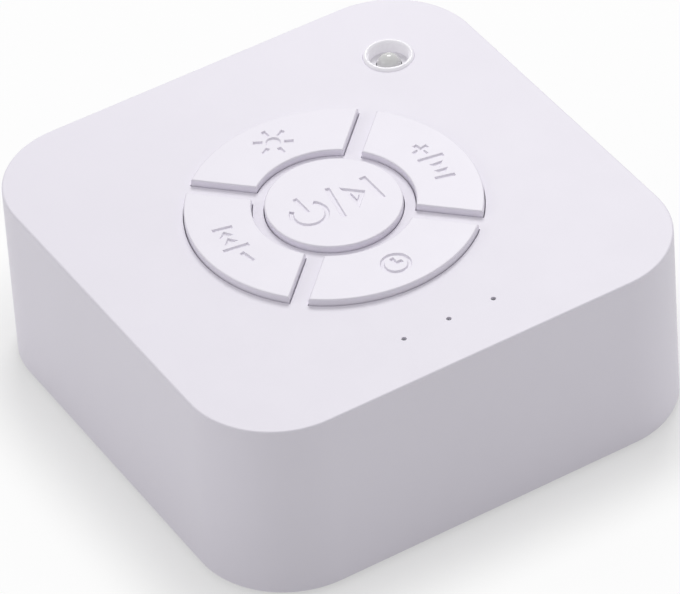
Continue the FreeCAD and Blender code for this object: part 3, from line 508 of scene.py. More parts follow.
@dataclass(frozen=True)
class WoundWire(Finish):
    """Enamelled wire in close turns about an upright axis."""

    colour: Colour
    pitch_mm: float = 0.16

    def sockets(self, graph: ShaderGraph) -> Sockets:
        """Colour, gloss and relief."""
        _, _, height = graph.axes()
        turns = graph.ripple(height, self.pitch_mm)
        enamel = graph.noise(1.2)
        return {
            "Base Color": graph.tones(enamel, self.colour, 0.8, 1.0),
            "Metallic": 0.9,
            "Roughness": 0.26 + (1 - turns) * 0.25,
            "Normal": graph.relief(turns, 0.05),
        }


@dataclass(frozen=True)
class OpenFoam(Finish):
    """Foam with open cells."""

    colour: Colour
    cell_mm: float = 0.7

    def sockets(self, graph: ShaderGraph) -> Sockets:
        """Colour, gloss and relief."""
        pores = graph.cells(self.cell_mm)
        tone = graph.noise(4.0)
        return {
            # Painted shade: the pores are coloured darker where the relief sinks into them.
            "Base Color": graph.tones(pores, self.colour, 0.5, 1.25),
            "Roughness": 0.88 + tone.sway(0.12),
            "Normal": graph.relief(pores, 0.25),
        }


@dataclass(frozen=True)
class ShrinkFilm(Finish):
    """Plain shrink film over a cell, with a lap seam along its length.

    Attributes:
        colour: The film's colour.
        seam_y: Place of the seam across the cell, in metres.
    """

    colour: Colour
    seam_y: float

    def sockets(self, graph: ShaderGraph) -> Sockets:
        """Colour, gloss and relief."""
        _, along, _ = graph.axes()
        seam = 1 - (graph.maths("ABSOLUTE", along - self.seam_y) > 0.6 * MM)
        creases = graph.noise(1.8, 3.0, graph.stretched((0.25, 1.0, 1.0)))
        base = graph.blend(seam * 0.35 + creases * 0.2, self.colour, lighter(self.colour, 1.6))
        return {
            "Base Color": base,
            "Roughness": 0.24 + creases * 0.14,
            "Normal": graph.relief(creases + seam * 0.6, 0.04),
            "Coat Weight": 0.5,
        }


@dataclass(frozen=True)
class LeadPair(Finish):
    """Insulation of two leads that lie side by side along Y.

    Attributes:
        near: Colour of the lead nearer the front.
        far: Colour of the lead nearer the back.
        middle_y: Place between the two, in metres.
    """

    near: Colour
    far: Colour
    middle_y: float

    def sockets(self, graph: ShaderGraph) -> Sockets:
        """Colour, gloss and relief."""
        _, along, _ = graph.axes()
        side = along > self.middle_y
        skin = graph.noise(0.8, 3.0)
        base = graph.blend(side, self.near, self.far)
        return {
            "Base Color": graph.blend(skin * 0.3, base, (0.02, 0.02, 0.02)),
            "Roughness": 0.40 + skin.sway(0.14),
            "Normal": graph.relief(skin, 0.02),
        }


def middle(node: str, axis: int) -> float:
    """Middle of a CAD node along an axis, in metres."""
    low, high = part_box(node)
    return (low[axis] + high[axis]) / 2


class Palette:
    """The finish of each material slot, built once and shared by its pieces."""

    def __init__(self, record: Mapping[str, object]) -> None:
        """Read which node takes which slot, and set each slot's finish.

        Args:
            record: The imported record.
        """
        self.slot_of = {part["node"]: part["material_slot"] for part in record["subparts"]}
        self.materials: dict[str, Material] = {}
        zinc = (0.62, 0.62, 0.64)
        self.finishes: dict[str, Finish] = {
            "shell_white": MouldedPlastic(from_screen(236, 232, 242)),
            "key_white": MouldedPlastic(from_screen(236, 232, 242), 0.22, 0.004, 0.40),
            "cover_white": MouldedPlastic(from_screen(229, 227, 233), 0.4, 0.012, 0.55),
            # The bezel's emission is painted light that brightens the ring and its bore.
            "bezel_white": PolishedPlastic(from_screen(196, 194, 199), 0.10, glow=0.34),
            "holder_grey": MouldedPlastic(from_screen(234, 232, 237), roughness=0.5),
            "lamp_white": PolishedPlastic(from_screen(244, 244, 243), 0.08, clear=0.25, milk=0.3),
            "guide_clear": PolishedPlastic((0.85, 0.88, 0.9), 0.10, clear=0.6),
            "foot_rubber": SoftRubber(from_screen(96, 96, 99)),
            "screw_steel": PlatedMetal(zinc),
            "board_green": CircuitBoard((0.02, 0.13, 0.06), (0.07, 0.30, 0.13)),
            "chip_black": MouldedPlastic((0.03, 0.03, 0.033), 0.12, 0.010, 0.5, 0.2),
            "can_metal": PlatedMetal((0.80, 0.81, 0.83), Lay.ALONG_Z, 0.1, 0.28),
            "switch_black": MouldedPlastic((0.035, 0.035, 0.035), 0.2, 0.006, 0.42, 0.1),
            "plunger_grey": MouldedPlastic((0.16, 0.16, 0.17), 0.2, 0.006, 0.42, 0.1),
            "basket_steel": PlatedMetal((0.45, 0.46, 0.48), Lay.NONE, 0.2, 0.38),
            "magnet_ferrite": SoftRubber((0.07, 0.07, 0.075), 0.55),
            "yoke_steel": PlatedMetal(zinc, Lay.NONE, 0.2, 0.3),
            "cone_paper": PressedPulp((0.05, 0.05, 0.055)),
            "surround_rubber": SoftRubber((0.035, 0.035, 0.037), 0.6),
            "spider_cloth": WovenCloth((0.55, 0.34, 0.12)),
            "coil_copper": WoundWire((0.85, 0.42, 0.20)),
            "terminal_board": MouldedPlastic((0.28, 0.15, 0.06), 0.5, 0.01, 0.55, 0.15),
            "plug_white": MouldedPlastic(from_screen(232, 230, 222), 0.2, 0.004, 0.35),
            "lead_insulation": LeadPair((0.55, 0.03, 0.02), (0.03, 0.03, 0.03), middle("speaker_leads", 1)),
            "cell_wrap": ShrinkFilm((0.03, 0.10, 0.32), middle("battery_cell", 1)),
            "foam_grey": OpenFoam((0.10, 0.10, 0.11)),
            "socket_steel": PlatedMetal((0.68, 0.68, 0.70), Lay.ALONG_Y, 0.08, 0.26),
            "tongue_black": MouldedPlastic((0.03, 0.03, 0.03), 0.15, 0.004, 0.4, 0.1),
        }

    def material(self, slot: str) -> Material:
        """The material of a slot."""
        if slot not in self.materials:
            self.materials[slot] = self.finishes[slot].shade(slot)
        return self.materials[slot]

    def dress(self, piece: Piece, slot: str) -> None:
        """Give a whole piece the material of a slot."""
        piece.data.materials.clear()
        piece.data.materials.append(self.material(slot))
        for face in piece.data.polygons:
            face.material_index = 0


class Bench:
    """Mesh operators, worked on one piece at a time."""

    @staticmethod
    def clear() -> None:
        """Leave edit mode with nothing selected."""
        if bpy.context.object and bpy.context.object.mode == "EDIT":
            bpy.ops.object.mode_set(mode="OBJECT")
        bpy.ops.object.select_all(action="DESELECT")

    @classmethod
    def take(cls, piece: Piece) -> None:
        """Make a piece the only selected one and the active one."""
        cls.clear()
        piece.select_set(True)
        bpy.context.view_layer.objects.active = piece

    @classmethod
    @contextmanager
    def editing(cls, piece: Piece, whole: bool = True) -> Iterator[None]:
        """Stay in edit mode on a piece for a while.

        Args:
            piece: The piece.
            whole: Select all of it, or keep the selection made before.
        """
        cls.take(piece)
        bpy.ops.object.mode_set(mode="EDIT")
        if whole:
            bpy.ops.mesh.select_all(action="SELECT")
        yield
        bpy.ops.object.mode_set(mode="OBJECT")

    @classmethod
    def _unpick(cls, piece: Piece, mode: tuple[bool, bool, bool]) -> None:
        """Set the select mode and drop the mesh's selection."""
        cls.take(piece)
        bpy.context.tool_settings.mesh_select_mode = mode
        mesh = piece.data
        for group in (mesh.vertices, mesh.edges, mesh.polygons):
            group.foreach_set("select", [False] * len(group))

    @classmethod
    def pick_points(cls, piece: Piece, test: Test) -> None:
        """Select the vertices that pass a test of their place."""
        cls._unpick(piece, (True, False, False))
        for vertex in piece.data.vertices:
            vertex.select = test(vertex.co)

    @classmethod
    def pick_edges(cls, piece: Piece, test: Test) -> None:
        """Select the edges whose two ends pass a test of their place."""
        cls._unpick(piece, (False, True, False))
        points = piece.data.vertices
        for edge in piece.data.edges:
            edge.select = all(test(points[index].co) for index in edge.vertices)
            if edge.select:
                for index in edge.vertices:
                    points[index].select = True

    @classmethod
    def pick_faces(cls, piece: Piece, test: Callable[[Vector, Vector], bool]) -> None:
        """Select the faces whose middle and normal pass a test."""
        cls._unpick(piece, (False, False, True))
        for face in piece.data.polygons:
            face.select = test(face.center, face.normal)

    @classmethod
    def primitive(
        cls, name: str, operator: Callable, scale: Point = (1.0, 1.0, 1.0), **settings: object
    ) -> Piece:
        """Add a primitive and settle its place into its mesh.

        Args:
            name: Name of the piece.
            operator: The operator that adds it.
            scale: Its scale along its own axes.
            settings: The operator's settings.

        Returns:
            The piece.
        """
        cls.clear()
        operator(**settings)
        piece = bpy.context.object
        piece.name = name
        piece.scale = scale
        bpy.ops.object.transform_apply(location=True, rotation=True, scale=True)
        return piece

    @classmethod
    def extrude(cls, piece: Piece, move: Point) -> None:
        """Make a closed solid of a flat piece."""
        with cls.editing(piece):
            bpy.ops.mesh.extrude_region_move(TRANSFORM_OT_translate={"value": move})
        cls.close_up(piece)

    @classmethod
    def upright(cls, name: str, radii: Pair, heights: Pair, azimuth_deg: float = 0.0) -> Piece:
        """An upright rectangle that stands on a radius of the z axis.

        Args:
            name: Name of the piece.
            radii: Its inner and outer radius.
            heights: Its lower and upper height.
            azimuth_deg: Direction of the radius, from +X.

        Returns:
            The piece.
        """
        (inner, outer), (low, high) = radii, heights
        turn = math.radians(azimuth_deg)
        reach = (inner + outer) / 2
        place = (reach * math.cos(turn), reach * math.sin(turn), (low + high) / 2)
        scale = (outer - inner, high - low, 1.0)
        facing = (math.pi / 2, 0.0, turn)
        add = bpy.ops.mesh.primitive_plane_add
        return cls.primitive(name, add, scale, size=1.0, location=place, rotation=facing)

    @classmethod
    def tube(cls, name: str, radii: Pair, heights: Pair, rim_r: float = 0.0) -> Piece:
        """An upright tube, turned from its wall, with its upper rims rounded."""
        piece = cls.upright(name, radii, heights)
        if rim_r:
            cls.pick_points(piece, at_level(heights[1]))
            with cls.editing(piece, whole=False):
                bpy.ops.mesh.bevel(offset=rim_r, segments=RIM_STEPS, affect="VERTICES")
        cls.spin(piece, FULL_TURN, Sides.BORE)
        return piece

    @classmethod
    def rounded_square(cls, name: str, half: float, radius: float, z: float) -> Piece:
        """A flat square with round corners, facing up."""
        piece = cls.primitive(name, bpy.ops.mesh.primitive_plane_add, size=2 * half, location=(0.0, 0.0, z))
        with cls.editing(piece):
            bpy.ops.mesh.bevel(offset=radius, segments=CORNER_STEPS, affect="VERTICES")
        return piece

    @classmethod
    def drum(
        cls,
        name: str,
        radius: float,
        z0: float,
        z1: float,
        place: Sequence[float] = (0.0, 0.0),
        sides: int = Sides.DRUM,
    ) -> Piece:
        """An upright cylinder between two heights."""
        add = bpy.ops.mesh.primitive_cylinder_add
        centre = (place[0], place[1], (z0 + z1) / 2)
        return cls.primitive(name, add, vertices=int(sides), radius=radius, depth=z1 - z0, location=centre)

    @classmethod
    def drums(
        cls, name: str, radius: float, z0: float, z1: float, places: Sequence[Pair], sides: int = Sides.DRUM
    ) -> list[Piece]:
        """Upright cylinders of one size at several places."""
        return [cls.drum(name, radius, z0, z1, place, sides) for place in places]

    @classmethod
    def bar(cls, name: str, size: Point, place: Point) -> Piece:
        """A block about a place."""
        return cls.primitive(name, bpy.ops.mesh.primitive_cube_add, size, size=1.0, location=place)

    @classmethod
    def repeat(cls, piece: Piece, places: Sequence[Pair]) -> list[Piece]:
        """Move a piece to the first place and its copies, each with its own mesh, to the others."""
        copies = []
        for place in places[1:]:
            cls.take(piece)
            bpy.ops.object.duplicate(linked=False)
            copies.append(cls.lay(bpy.context.object, Matrix.Translation((*place, 0.0))))
        cls.lay(piece, Matrix.Translation((*places[0], 0.0)))
        return [piece, *copies]

    @classmethod
    def spin(cls, piece: Piece, sweep_deg: float, steps: int) -> None:
        """Sweep a flat piece anticlockwise about the z axis, without its face if it goes all round."""
        with cls.editing(piece):
            if sweep_deg == FULL_TURN:
                bpy.ops.mesh.delete(type="ONLY_FACE")
                bpy.ops.mesh.select_all(action="SELECT")
            turn = -math.radians(sweep_deg)
            bpy.ops.mesh.spin(steps=int(steps), angle=turn, center=(0.0, 0.0, 0.0), axis=(0.0, 0.0, 1.0))
        cls.close_up(piece)

    @classmethod
    def close_up(cls, piece: Piece) -> None:
        """Merge doubles and turn every face outwards."""
        with cls.editing(piece):
            bpy.ops.mesh.remove_doubles(threshold=MERGE)
            bpy.ops.mesh.normals_make_consistent(inside=False)

    @classmethod
    def merge_flats(cls, piece: Piece) -> None:
        """Make one face of the faces that lie in one plane."""
        with cls.editing(piece):
            bpy.ops.mesh.dissolve_limited(angle_limit=math.radians(FLAT_DEG))

    @classmethod
    def lay(cls, piece: Piece, place: Matrix) -> Piece:
        """Move a piece and settle the move into its mesh."""
        cls.take(piece)
        piece.matrix_world = place @ piece.matrix_world
        bpy.ops.object.transform_apply(location=True, rotation=True, scale=True)
        return piece

    @classmethod
    def slice_off(cls, piece: Piece, place: Vector, away: Vector) -> None:
        """Cut a piece with a plane, drop the side that the normal points to and close the cut."""
        with cls.editing(piece):
            bpy.ops.mesh.bisect(plane_co=place, plane_no=away, use_fill=True, clear_outer=True)

    @classmethod
    def bevel_level(cls, piece: Piece, z: float, radius: float, segments: int = 4) -> None:
        """Round every edge that lies at a height."""
        cls.pick_edges(piece, at_level(z))
        with cls.editing(piece, whole=False):
            bpy.ops.mesh.bevel(offset=radius, segments=segments, affect="EDGES", clamp_overlap=True)

    @classmethod
    def join(cls, pieces: Sequence[Piece]) -> Piece:
        """Make several pieces one mesh."""
        cls.take(pieces[0])
        for piece in pieces:
            piece.select_set(True)
        bpy.ops.object.join()
        return pieces[0]

    @classmethod
    def combine(cls, piece: Piece, tools: Sequence[Piece], operation: Cut) -> None:
        """Unite a piece with tools or cut them out of it; the tools are used up."""
        tool = cls.join(tools)
        for solid in (tool, piece):
            with cls.editing(solid):
                bpy.ops.mesh.quads_convert_to_tris(quad_method="BEAUTY", ngon_method="BEAUTY")
        bpy.ops.object.modifier_add(type="BOOLEAN")
        modifier = piece.modifiers[-1]
        modifier.operation = operation.value
        modifier.solver = "EXACT"
        modifier.object = tool
        bpy.ops.object.modifier_apply(modifier=modifier.name)
        bpy.data.objects.remove(tool)

    @classmethod
    def finish(cls, piece: Piece) -> None:
        """Shade a piece smoothly, with sharp edges past an angle and flat faces kept flat."""
        cls.merge_flats(piece)
        cls.take(piece)
        bpy.ops.object.shade_smooth_by_angle(angle=math.radians(SMOOTH_DEG))
        bpy.ops.object.modifier_add(type="WEIGHTED_NORMAL")
        modifier = piece.modifiers[-1]
        modifier.keep_sharp = True
        bpy.ops.object.modifier_apply(modifier=modifier.name)

    @classmethod
    def refined_copy(cls, node: str, name: str) -> Piece:
        """Copy a CAD node's mesh as one joined surface.

        Args:
            node: The CAD node.
            name: Name of the copy.

        Returns:
            The copy, smoothly shaded.
        """
        mesh = frame["nodes"][node].data.copy()
        piece = bpy.data.objects.new(name, mesh)
        bpy.context.scene.collection.objects.link(piece)
        with cls.editing(piece):
            bpy.ops.mesh.remove_doubles(threshold=MERGE)
            flat, skew = math.radians(1), math.radians(40)
            bpy.ops.mesh.tris_convert_to_quads(face_threshold=flat, shape_threshold=skew)
        cls.finish(piece)
        return piece


@dataclass
class SubAssembly:
    """Pieces that are dressed together.

    Attributes:
        palette: Where finishes come from.
    """

    palette: Palette

    def fit(self, piece: Piece, node: str, body: str) -> Piece:
        """Dress a finished piece and let it stand for a CAD node.

        Args:
            piece: The piece.
            node: The CAD node that it replaces.
            body: The body that it rides on.

        Returns:
            The piece.
        """
        slot = self.palette.slot_of[node]
        self.palette.dress(piece, slot)
        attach(piece, body)
        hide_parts(node)
        LOG.info("%s: %d faces on %s", piece.name, len(piece.data.polygons), body)
        return piece

    def refine(self, node: str, body: str) -> Piece:
        """Let a smooth copy of a CAD node stand for it."""
        return self.fit(Bench.refined_copy(node, f"{node}_skin"), node, body)


def corners(across: float, along: float) -> list[Pair]:
    """Four places mirrored about the middle."""
    return [(side * across, way * along) for side in (1, -1) for way in (1, -1)]


class Key(Enum):
    """The keys, with the direction of each from the middle of the ring, in degrees."""

    POWER = ("power", None)
    LIGHT = ("light", 90.0)
    NEXT = ("next", 0.0)
    TIMER = ("timer", 270.0)
    PREVIOUS = ("previous", 180.0)

    @property
    def label(self) -> str:
        """The key's name in its node and body."""
        return self.value[0]

    @property
    def direction(self) -> Optional[float]:
        """Where a ring key lies, or None for the middle key."""
        return self.value[1]


@dataclass(frozen=True)
class KeyPlan:
    """Plan of the key cut-outs, in metres.

    Attributes:
        middle: Common middle of the keys.
        round_r: Radius of the middle cut-out.
        inner_r: Inner radius of the ring's cut-outs.
        outer_r: Outer radius of the ring's cut-outs.
        offset: From a diagonal of the ring to a cut-out's end.
        arc_deg: Sweep of a ring key before its ends are cut.
        arc_steps: Steps in that sweep.
    """

    middle: Pair = (-0.35 * MM, -0.55 * MM)
    round_r: float = 13.06 * MM
    inner_r: float = 15.05 * MM
    outer_r: float = 27.95 * MM
    offset: float = 1.6 * MM
    arc_deg: float = 100.0
    arc_steps: int = 60

    def form(self, key: Key, grow: float, z0: float, z1: float) -> Piece:
        """Solid of a key's plan form about the origin, grown or shrunk.

        Args:
            key: The key.
            grow: Added all round.
            z0: Lower height.
            z1: Upper height.

        Returns:
            A solid that lies at +Y, or about the origin for the middle key.
        """
        if key.direction is None:
            return Bench.drum("round_form", self.round_r + grow, z0, z1, sides=Sides.KEY)
        radii = (self.inner_r - grow, self.outer_r + grow)
        form = Bench.upright("sector_form", radii, (z0, z1), MADE_AT_DEG - self.arc_deg / 2)
        Bench.spin(form, self.arc_deg, self.arc_steps)
        diagonal = math.sqrt(0.5)
        for side in (1, -1):
            outwards = Vector((side * diagonal, -diagonal, 0.0))
            Bench.slice_off(form, outwards * (grow - self.offset), outwards)
        Bench.merge_flats(form)
        Bench.close_up(form)
        return form

    def settle(self, piece: Piece, key: Key) -> Piece:
        """Turn a piece made at +Y to its key's direction and shift it to the keys' middle."""
        turn = 0.0 if key.direction is None else math.radians(key.direction - MADE_AT_DEG)
        return Bench.lay(piece, Matrix.Translation((*self.middle, 0.0)) @ Matrix.Rotation(turn, 4, "Z"))


@dataclass
class CaseShell(SubAssembly):
    """The one-piece housing: drafted sides, flat panel, posts and openings. Sizes in metres."""

    plan: KeyPlan = KeyPlan()
    top_half: float = 50.0 * MM
    corner_r: float = 18.0 * MM
    wall: float = 2.0 * MM
    panel: float = 2.2 * MM
    edge_r: float = 0.4 * MM
    foot_edge_r: float = 0.15 * MM
    cover_post_r: float = 3.2 * MM
    cover_post_xy: float = 39.5 * MM
    cover_post_z0: float = 6.1 * MM
    cover_pilot: Pair = (1.31 * MM, 9.0 * MM)
    board_post_r: float = 2.6 * MM
    board_post_xy: Pair = (38.0 * MM, 14.0 * MM)
    board_pilot: Pair = (1.06 * MM, 6.0 * MM)
    lens_hole_r: float = 5.0 * MM
    dot_r: float = 0.5 * MM
    dot_pitch: float = 9.53 * MM
    slot_half: Pair = (6.2 * MM, 3.3 * MM)
    slot_steps: int = 12
    over: float = 1.0 * MM

    def build(self) -> None:
        """Model the housing and put it in place of its CAD node."""
        low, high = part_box("top_shell")
        shell = self._body(low.z, high.x, high.z)
        ceiling = high.z - self.panel
        board_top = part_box("main_board")[1].z
        Bench.combine(shell, self._posts(ceiling, board_top), Cut.ADD)
        Bench.combine(shell, self._openings(high, ceiling, board_top), Cut.AWAY)
        Bench.finish(shell)
        self.fit(shell, "top_shell", "case")

    def _body(self, z0: float, foot_half: float, z1: float) -> Piece:
        """Hollow form of the case, open below."""
        flare = foot_half - self.top_half
        height = z1 - z0
        shell = Bench.rounded_square("case_shell", foot_half, self.corner_r + flare, z0)
        with Bench.editing(shell):
            bpy.ops.mesh.inset(thickness=flare, depth=height, use_even_offset=True)
        Bench.bevel_level(shell, z1, self.edge_r, 5)
        Bench.pick_edges(shell, at_level(z0))
        with Bench.editing(shell, whole=False):
            bpy.ops.mesh.edge_face_add()
        Bench.close_up(shell)
        Bench.bevel_level(shell, z0, self.foot_edge_r, 2)
        Bench.pick_faces(shell, lambda centre, normal: abs(centre.z - z0) < MERGE and normal.z < -0.9)
        inside = height - self.panel
        with Bench.editing(shell, whole=False):
            bpy.ops.mesh.inset(thickness=self.wall - self.foot_edge_r, use_even_offset=True)
            bpy.ops.mesh.inset(thickness=flare * inside / height, depth=-inside, use_even_offset=True)
        Bench.close_up(shell)
        return shell

    def _posts(self, ceiling: float, board_top: float) -> list[Piece]:
        """Posts that hang from the panel for the cover and the board."""
        top = ceiling + self.over
        cover = corners(self.cover_post_xy, self.cover_post_xy)
        return [
            *Bench.drums("post", self.cover_post_r, self.cover_post_z0, top, cover),
            *Bench.drums("post", self.board_post_r, board_top, top, corners(*self.board_post_xy)),
        ]

    def _openings(self, high: Vector, ceiling: float, board_top: float) -> list[Piece]:
        """Tools for the key cut-outs, lens hole, dots, screw pilots and charging slot."""
        span = (ceiling - self.over, high.z + self.over)
        tools = [self.plan.settle(self.plan.form(key, 0.0, *span), key) for key in Key]
        lens = (middle("night_light_bezel", 0), middle("night_light_bezel", 1))
        tools.append(Bench.drum("lens_tool", self.lens_hole_r, *span, lens, Sides.BORE))
        dot_y = middle("timer_light_guide", 1)
        dots = [(index * self.dot_pitch, dot_y) for index in (-1, 0, 1)]
        tools += Bench.drums("dot_tool", self.dot_r, *span, dots, Sides.SMALL)
        for (radius, depth), foot, places in (
            (self.cover_pilot, self.cover_post_z0, corners(self.cover_post_xy, self.cover_post_xy)),
            (self.board_pilot, board_top, corners(*self.board_post_xy)),
        ):
            tools += Bench.drums("pilot_tool", radius, foot - self.over, foot + depth, places, Sides.SMALL)
        return [*tools, self._slot_tool(high.y)]

    def _slot_tool(self, back: float) -> Piece:
        """Oval tool for the charging slot in the back wall."""
        half_w, half_h = self.slot_half
        tool = Bench.primitive(
            "slot_tool",
            bpy.ops.mesh.primitive_plane_add,
            (2 * half_w, 2 * half_h, 1.0),
            size=1.0,
            location=(0.0, back - self.wall - self.over, middle("usb_socket", 2)),
            rotation=(math.pi / 2, 0.0, 0.0),
        )
        with Bench.editing(tool):
            bpy.ops.mesh.bevel(offset=half_h, segments=self.slot_steps, affect="VERTICES")
        Bench.extrude(tool, (0.0, self.wall + 2 * self.over, 0.0))
        return tool


@dataclass(frozen=True)
class Engraver:
    """Makes the tools that cut the legends: flat grooves with steep walls. Sizes in metres.

    Attributes:
        surface: Height of the key tops.
        depth: Depth of a groove; crossing grooves differ by a hair, so that no two floors meet in one plane.
        over: How far a tool stands above the surface.
        run: How far a wall slopes in over that depth.
        ring_mid: Radius of the ring keys' middle line.
    """

    surface: float
    depth: float
    over: float
    run: float = 0.2 * MM
    ring_mid: float = 21.5 * MM

    def sink(self, tool: Piece) -> Piece:
        """Turn a flat outline on the surface into a closed tool that reaches the groove's floor."""
        with Bench.editing(tool):
            bpy.ops.mesh.inset(thickness=self.run, depth=-self.depth, use_even_offset=True)
        Bench.pick_edges(tool, at_level(self.surface))
        with Bench.editing(tool, whole=False):
            bpy.ops.mesh.extrude_edges_move(TRANSFORM_OT_translate={"value": (0.0, 0.0, self.over)})
            bpy.ops.mesh.edge_face_add()
        Bench.close_up(tool)
        return tool

    def on_ring(self, tool: Piece, along: float, inward: bool) -> Piece:
        """Take a mark from its glyph's middle to its place on a ring key at +Y."""
        swing = -along * MM / self.ring_mid * (-1 if inward else 1)
        place = Matrix.Rotation(swing, 4, "Z") @ Matrix.Translation((0.0, self.ring_mid, 0.0))
        if inward:
            place = place @ Matrix.Rotation(math.pi, 4, "Z")
        return Bench.lay(tool, place)


@dataclass(frozen=True)
class Stroke:
    """A straight groove. Sizes in millimetres from the glyph's middle.

    Attributes:
        start: Its first end.
        end: Its second end.
        width: Its width.
    """

    start: Pair
    end: Pair
    width: float = 1.0

    def tool(self, engraver: Engraver) -> Piece:
        """Make the tool that cuts it."""
        along = Vector(self.end) - Vector(self.start)
        centre = (Vector(self.start) + Vector(self.end)) * (MM / 2)
        outline = Bench.primitive(
            "stroke_tool",
            bpy.ops.mesh.primitive_plane_add,
            (along.length * MM, self.width * MM, 1.0),
            size=1.0,
            location=(*centre, engraver.surface),
            rotation=(0.0, 0.0, math.atan2(along.y, along.x)),
        )
        return engraver.sink(outline)


@dataclass(frozen=True)
class Loop:
    """A round groove, whole or open. Sizes in millimetres.

    Attributes:
        radius: Radius of its middle line.
        centre: Its centre.
        first_deg: Where it starts, from +X.
        sweep_deg: How far it runs, anticlockwise.
        width: Its width.
    """

    radius: float
    centre: Pair = (0.0, 0.0)
    first_deg: float = 0.0
    sweep_deg: float = FULL_TURN
    width: float = 1.0

    def tool(self, engraver: Engraver) -> Piece:
        """Make the tool that cuts it."""
        top = self.width * MM / 2 + engraver.run * engraver.over / engraver.depth
        floor = self.width * MM / 2 - engraver.run
        mid = self.radius * MM
        low = engraver.surface - engraver.depth
        heights = (low, engraver.surface + engraver.over)
        wall = Bench.upright("loop_tool", (mid - top, mid + top), heights, self.first_deg)
        Bench.pick_edges(wall, at_level(low))
        with Bench.editing(wall, whole=False):
            bpy.ops.transform.resize(value=(floor / top, floor / top, 1.0))
        Bench.spin(wall, self.sweep_deg, Sides.MARK)
        return Bench.lay(wall, Matrix.Translation((self.centre[0] * MM, self.centre[1] * MM, 0.0)))


@dataclass(frozen=True)
class Disc:
    """A round pocket. The radius is in millimetres."""

    radius: float

    def tool(self, engraver: Engraver) -> Piece:
        """Make the tool that cuts it."""
        outline = Bench.primitive(
            "disc_tool",
            bpy.ops.mesh.primitive_circle_add,
            vertices=int(Sides.MARK),
            radius=self.radius * MM,
            fill_type="NGON",
            location=(0.0, 0.0, engraver.surface),
        )
        return engraver.sink(outline)


@dataclass(frozen=True)
class Arrow:
    """A triangle that points along X. Sizes in millimetres.

    Attributes:
        base_x: Place of its base.
        tip_x: Place of its tip.
        half_base: Half the length of its base.
        y: Height of its middle line.
        island: Base, tip and half base of the triangle left standing in it, if any.
    """

    base_x: float
    tip_x: float
    half_base: float
    y: float = 0.0
    island: Optional[Point] = None

    def tool(self, engraver: Engraver) -> Piece:
        """Make the tool that cuts it."""
        tool = engraver.sink(self._outline(self.base_x, self.tip_x, self.half_base, engraver.surface))
        if self.island:
            floor = engraver.surface - engraver.depth - engraver.over
            island = self._outline(*self.island, floor)
            Bench.extrude(island, (0.0, 0.0, engraver.depth + 3 * engraver.over))
            Bench.combine(tool, [island], Cut.AWAY)
        return tool

    def _outline(self, base_x: float, tip_x: float, half_base: float, height: float) -> Piece:
        """Flat triangle at a height, facing up."""
        way = 1 if tip_x > base_x else -1
        length = abs(tip_x - base_x)
        return Bench.primitive(
            "arrow_tool",
            bpy.ops.mesh.primitive_circle_add,
            (2 * half_base * MM / math.sqrt(3), length * MM / 1.5, 1.0),
            vertices=3,
            radius=1.0,
            fill_type="NGON",
            location=((base_x + way * length / 3) * MM, self.y * MM, height),
            rotation=(0.0, 0.0, -way * math.pi / 2),
        )


Mark = Union[Stroke, Loop, Disc, Arrow]
THIN = 0.9
RAYS = 6
RAY_NEAR, RAY_FAR = 2.0, 3.85
SLASH = Stroke((-0.5, -2.5), (0.5, 2.5))
SKIP_BAR = Stroke((0.0, -1.95), (0.0, 1.95), THIN)
FORWARD = Arrow(-0.8, 0.8, 1.45)
BACK = Arrow(0.8, -0.8, 1.45)


def ray(index: int) -> Stroke:
    """One ray of the sun sign."""
    turn = math.radians((index + 0.5) * FULL_TURN / RAYS)
    start, end = ((reach * math.cos(turn), reach * math.sin(turn)) for reach in (RAY_NEAR, RAY_FAR))
    return Stroke(start, end, THIN)


LEGENDS: dict[Key, Sequence[tuple[float, Mark]]] = {
    Key.POWER: (
        (0.0, Loop(3.3, (-5.5, -0.35), 134.0, 272.0)),
        (0.0, Stroke((-5.5, 0.1), (-5.5, 4.9))),
        (0.0, Stroke((-0.7, -4.9), (1.05, 4.1))),
        (0.0, Arrow(2.95, 6.55, 3.6, -0.65, (3.95, 5.15, 1.2))),
        (0.0, Stroke((8.0, -4.3), (8.0, 3.1), 1.4)),
    ),
    Key.LIGHT: ((0.0, Disc(1.45)), *((0.0, ray(index)) for index in range(RAYS))),
    Key.NEXT: (
        (-3.6, Stroke((-1.75, 0.0), (1.75, 0.0))),
        (-3.6, Stroke((0.0, -1.75), (0.0, 1.75))),
        (-0.45, SLASH),
        (2.1, FORWARD),
        (4.2, FORWARD),
        (5.75, SKIP_BAR),
    ),
    Key.TIMER: (
        (0.0, Loop(2.5, width=THIN)),
        (0.0, Stroke((0.0, -0.45), (0.0, 1.7), THIN)),
        (0.0, Stroke((-0.45, 0.0), (1.4, 0.0), THIN)),
    ),
    Key.PREVIOUS: (
        (-5.3, SKIP_BAR),
        (-3.7, BACK),
        (-1.65, BACK),
        (0.85, SLASH),
        (4.2, Stroke((-1.65, 0.0), (1.65, 0.0))),
    ),
}


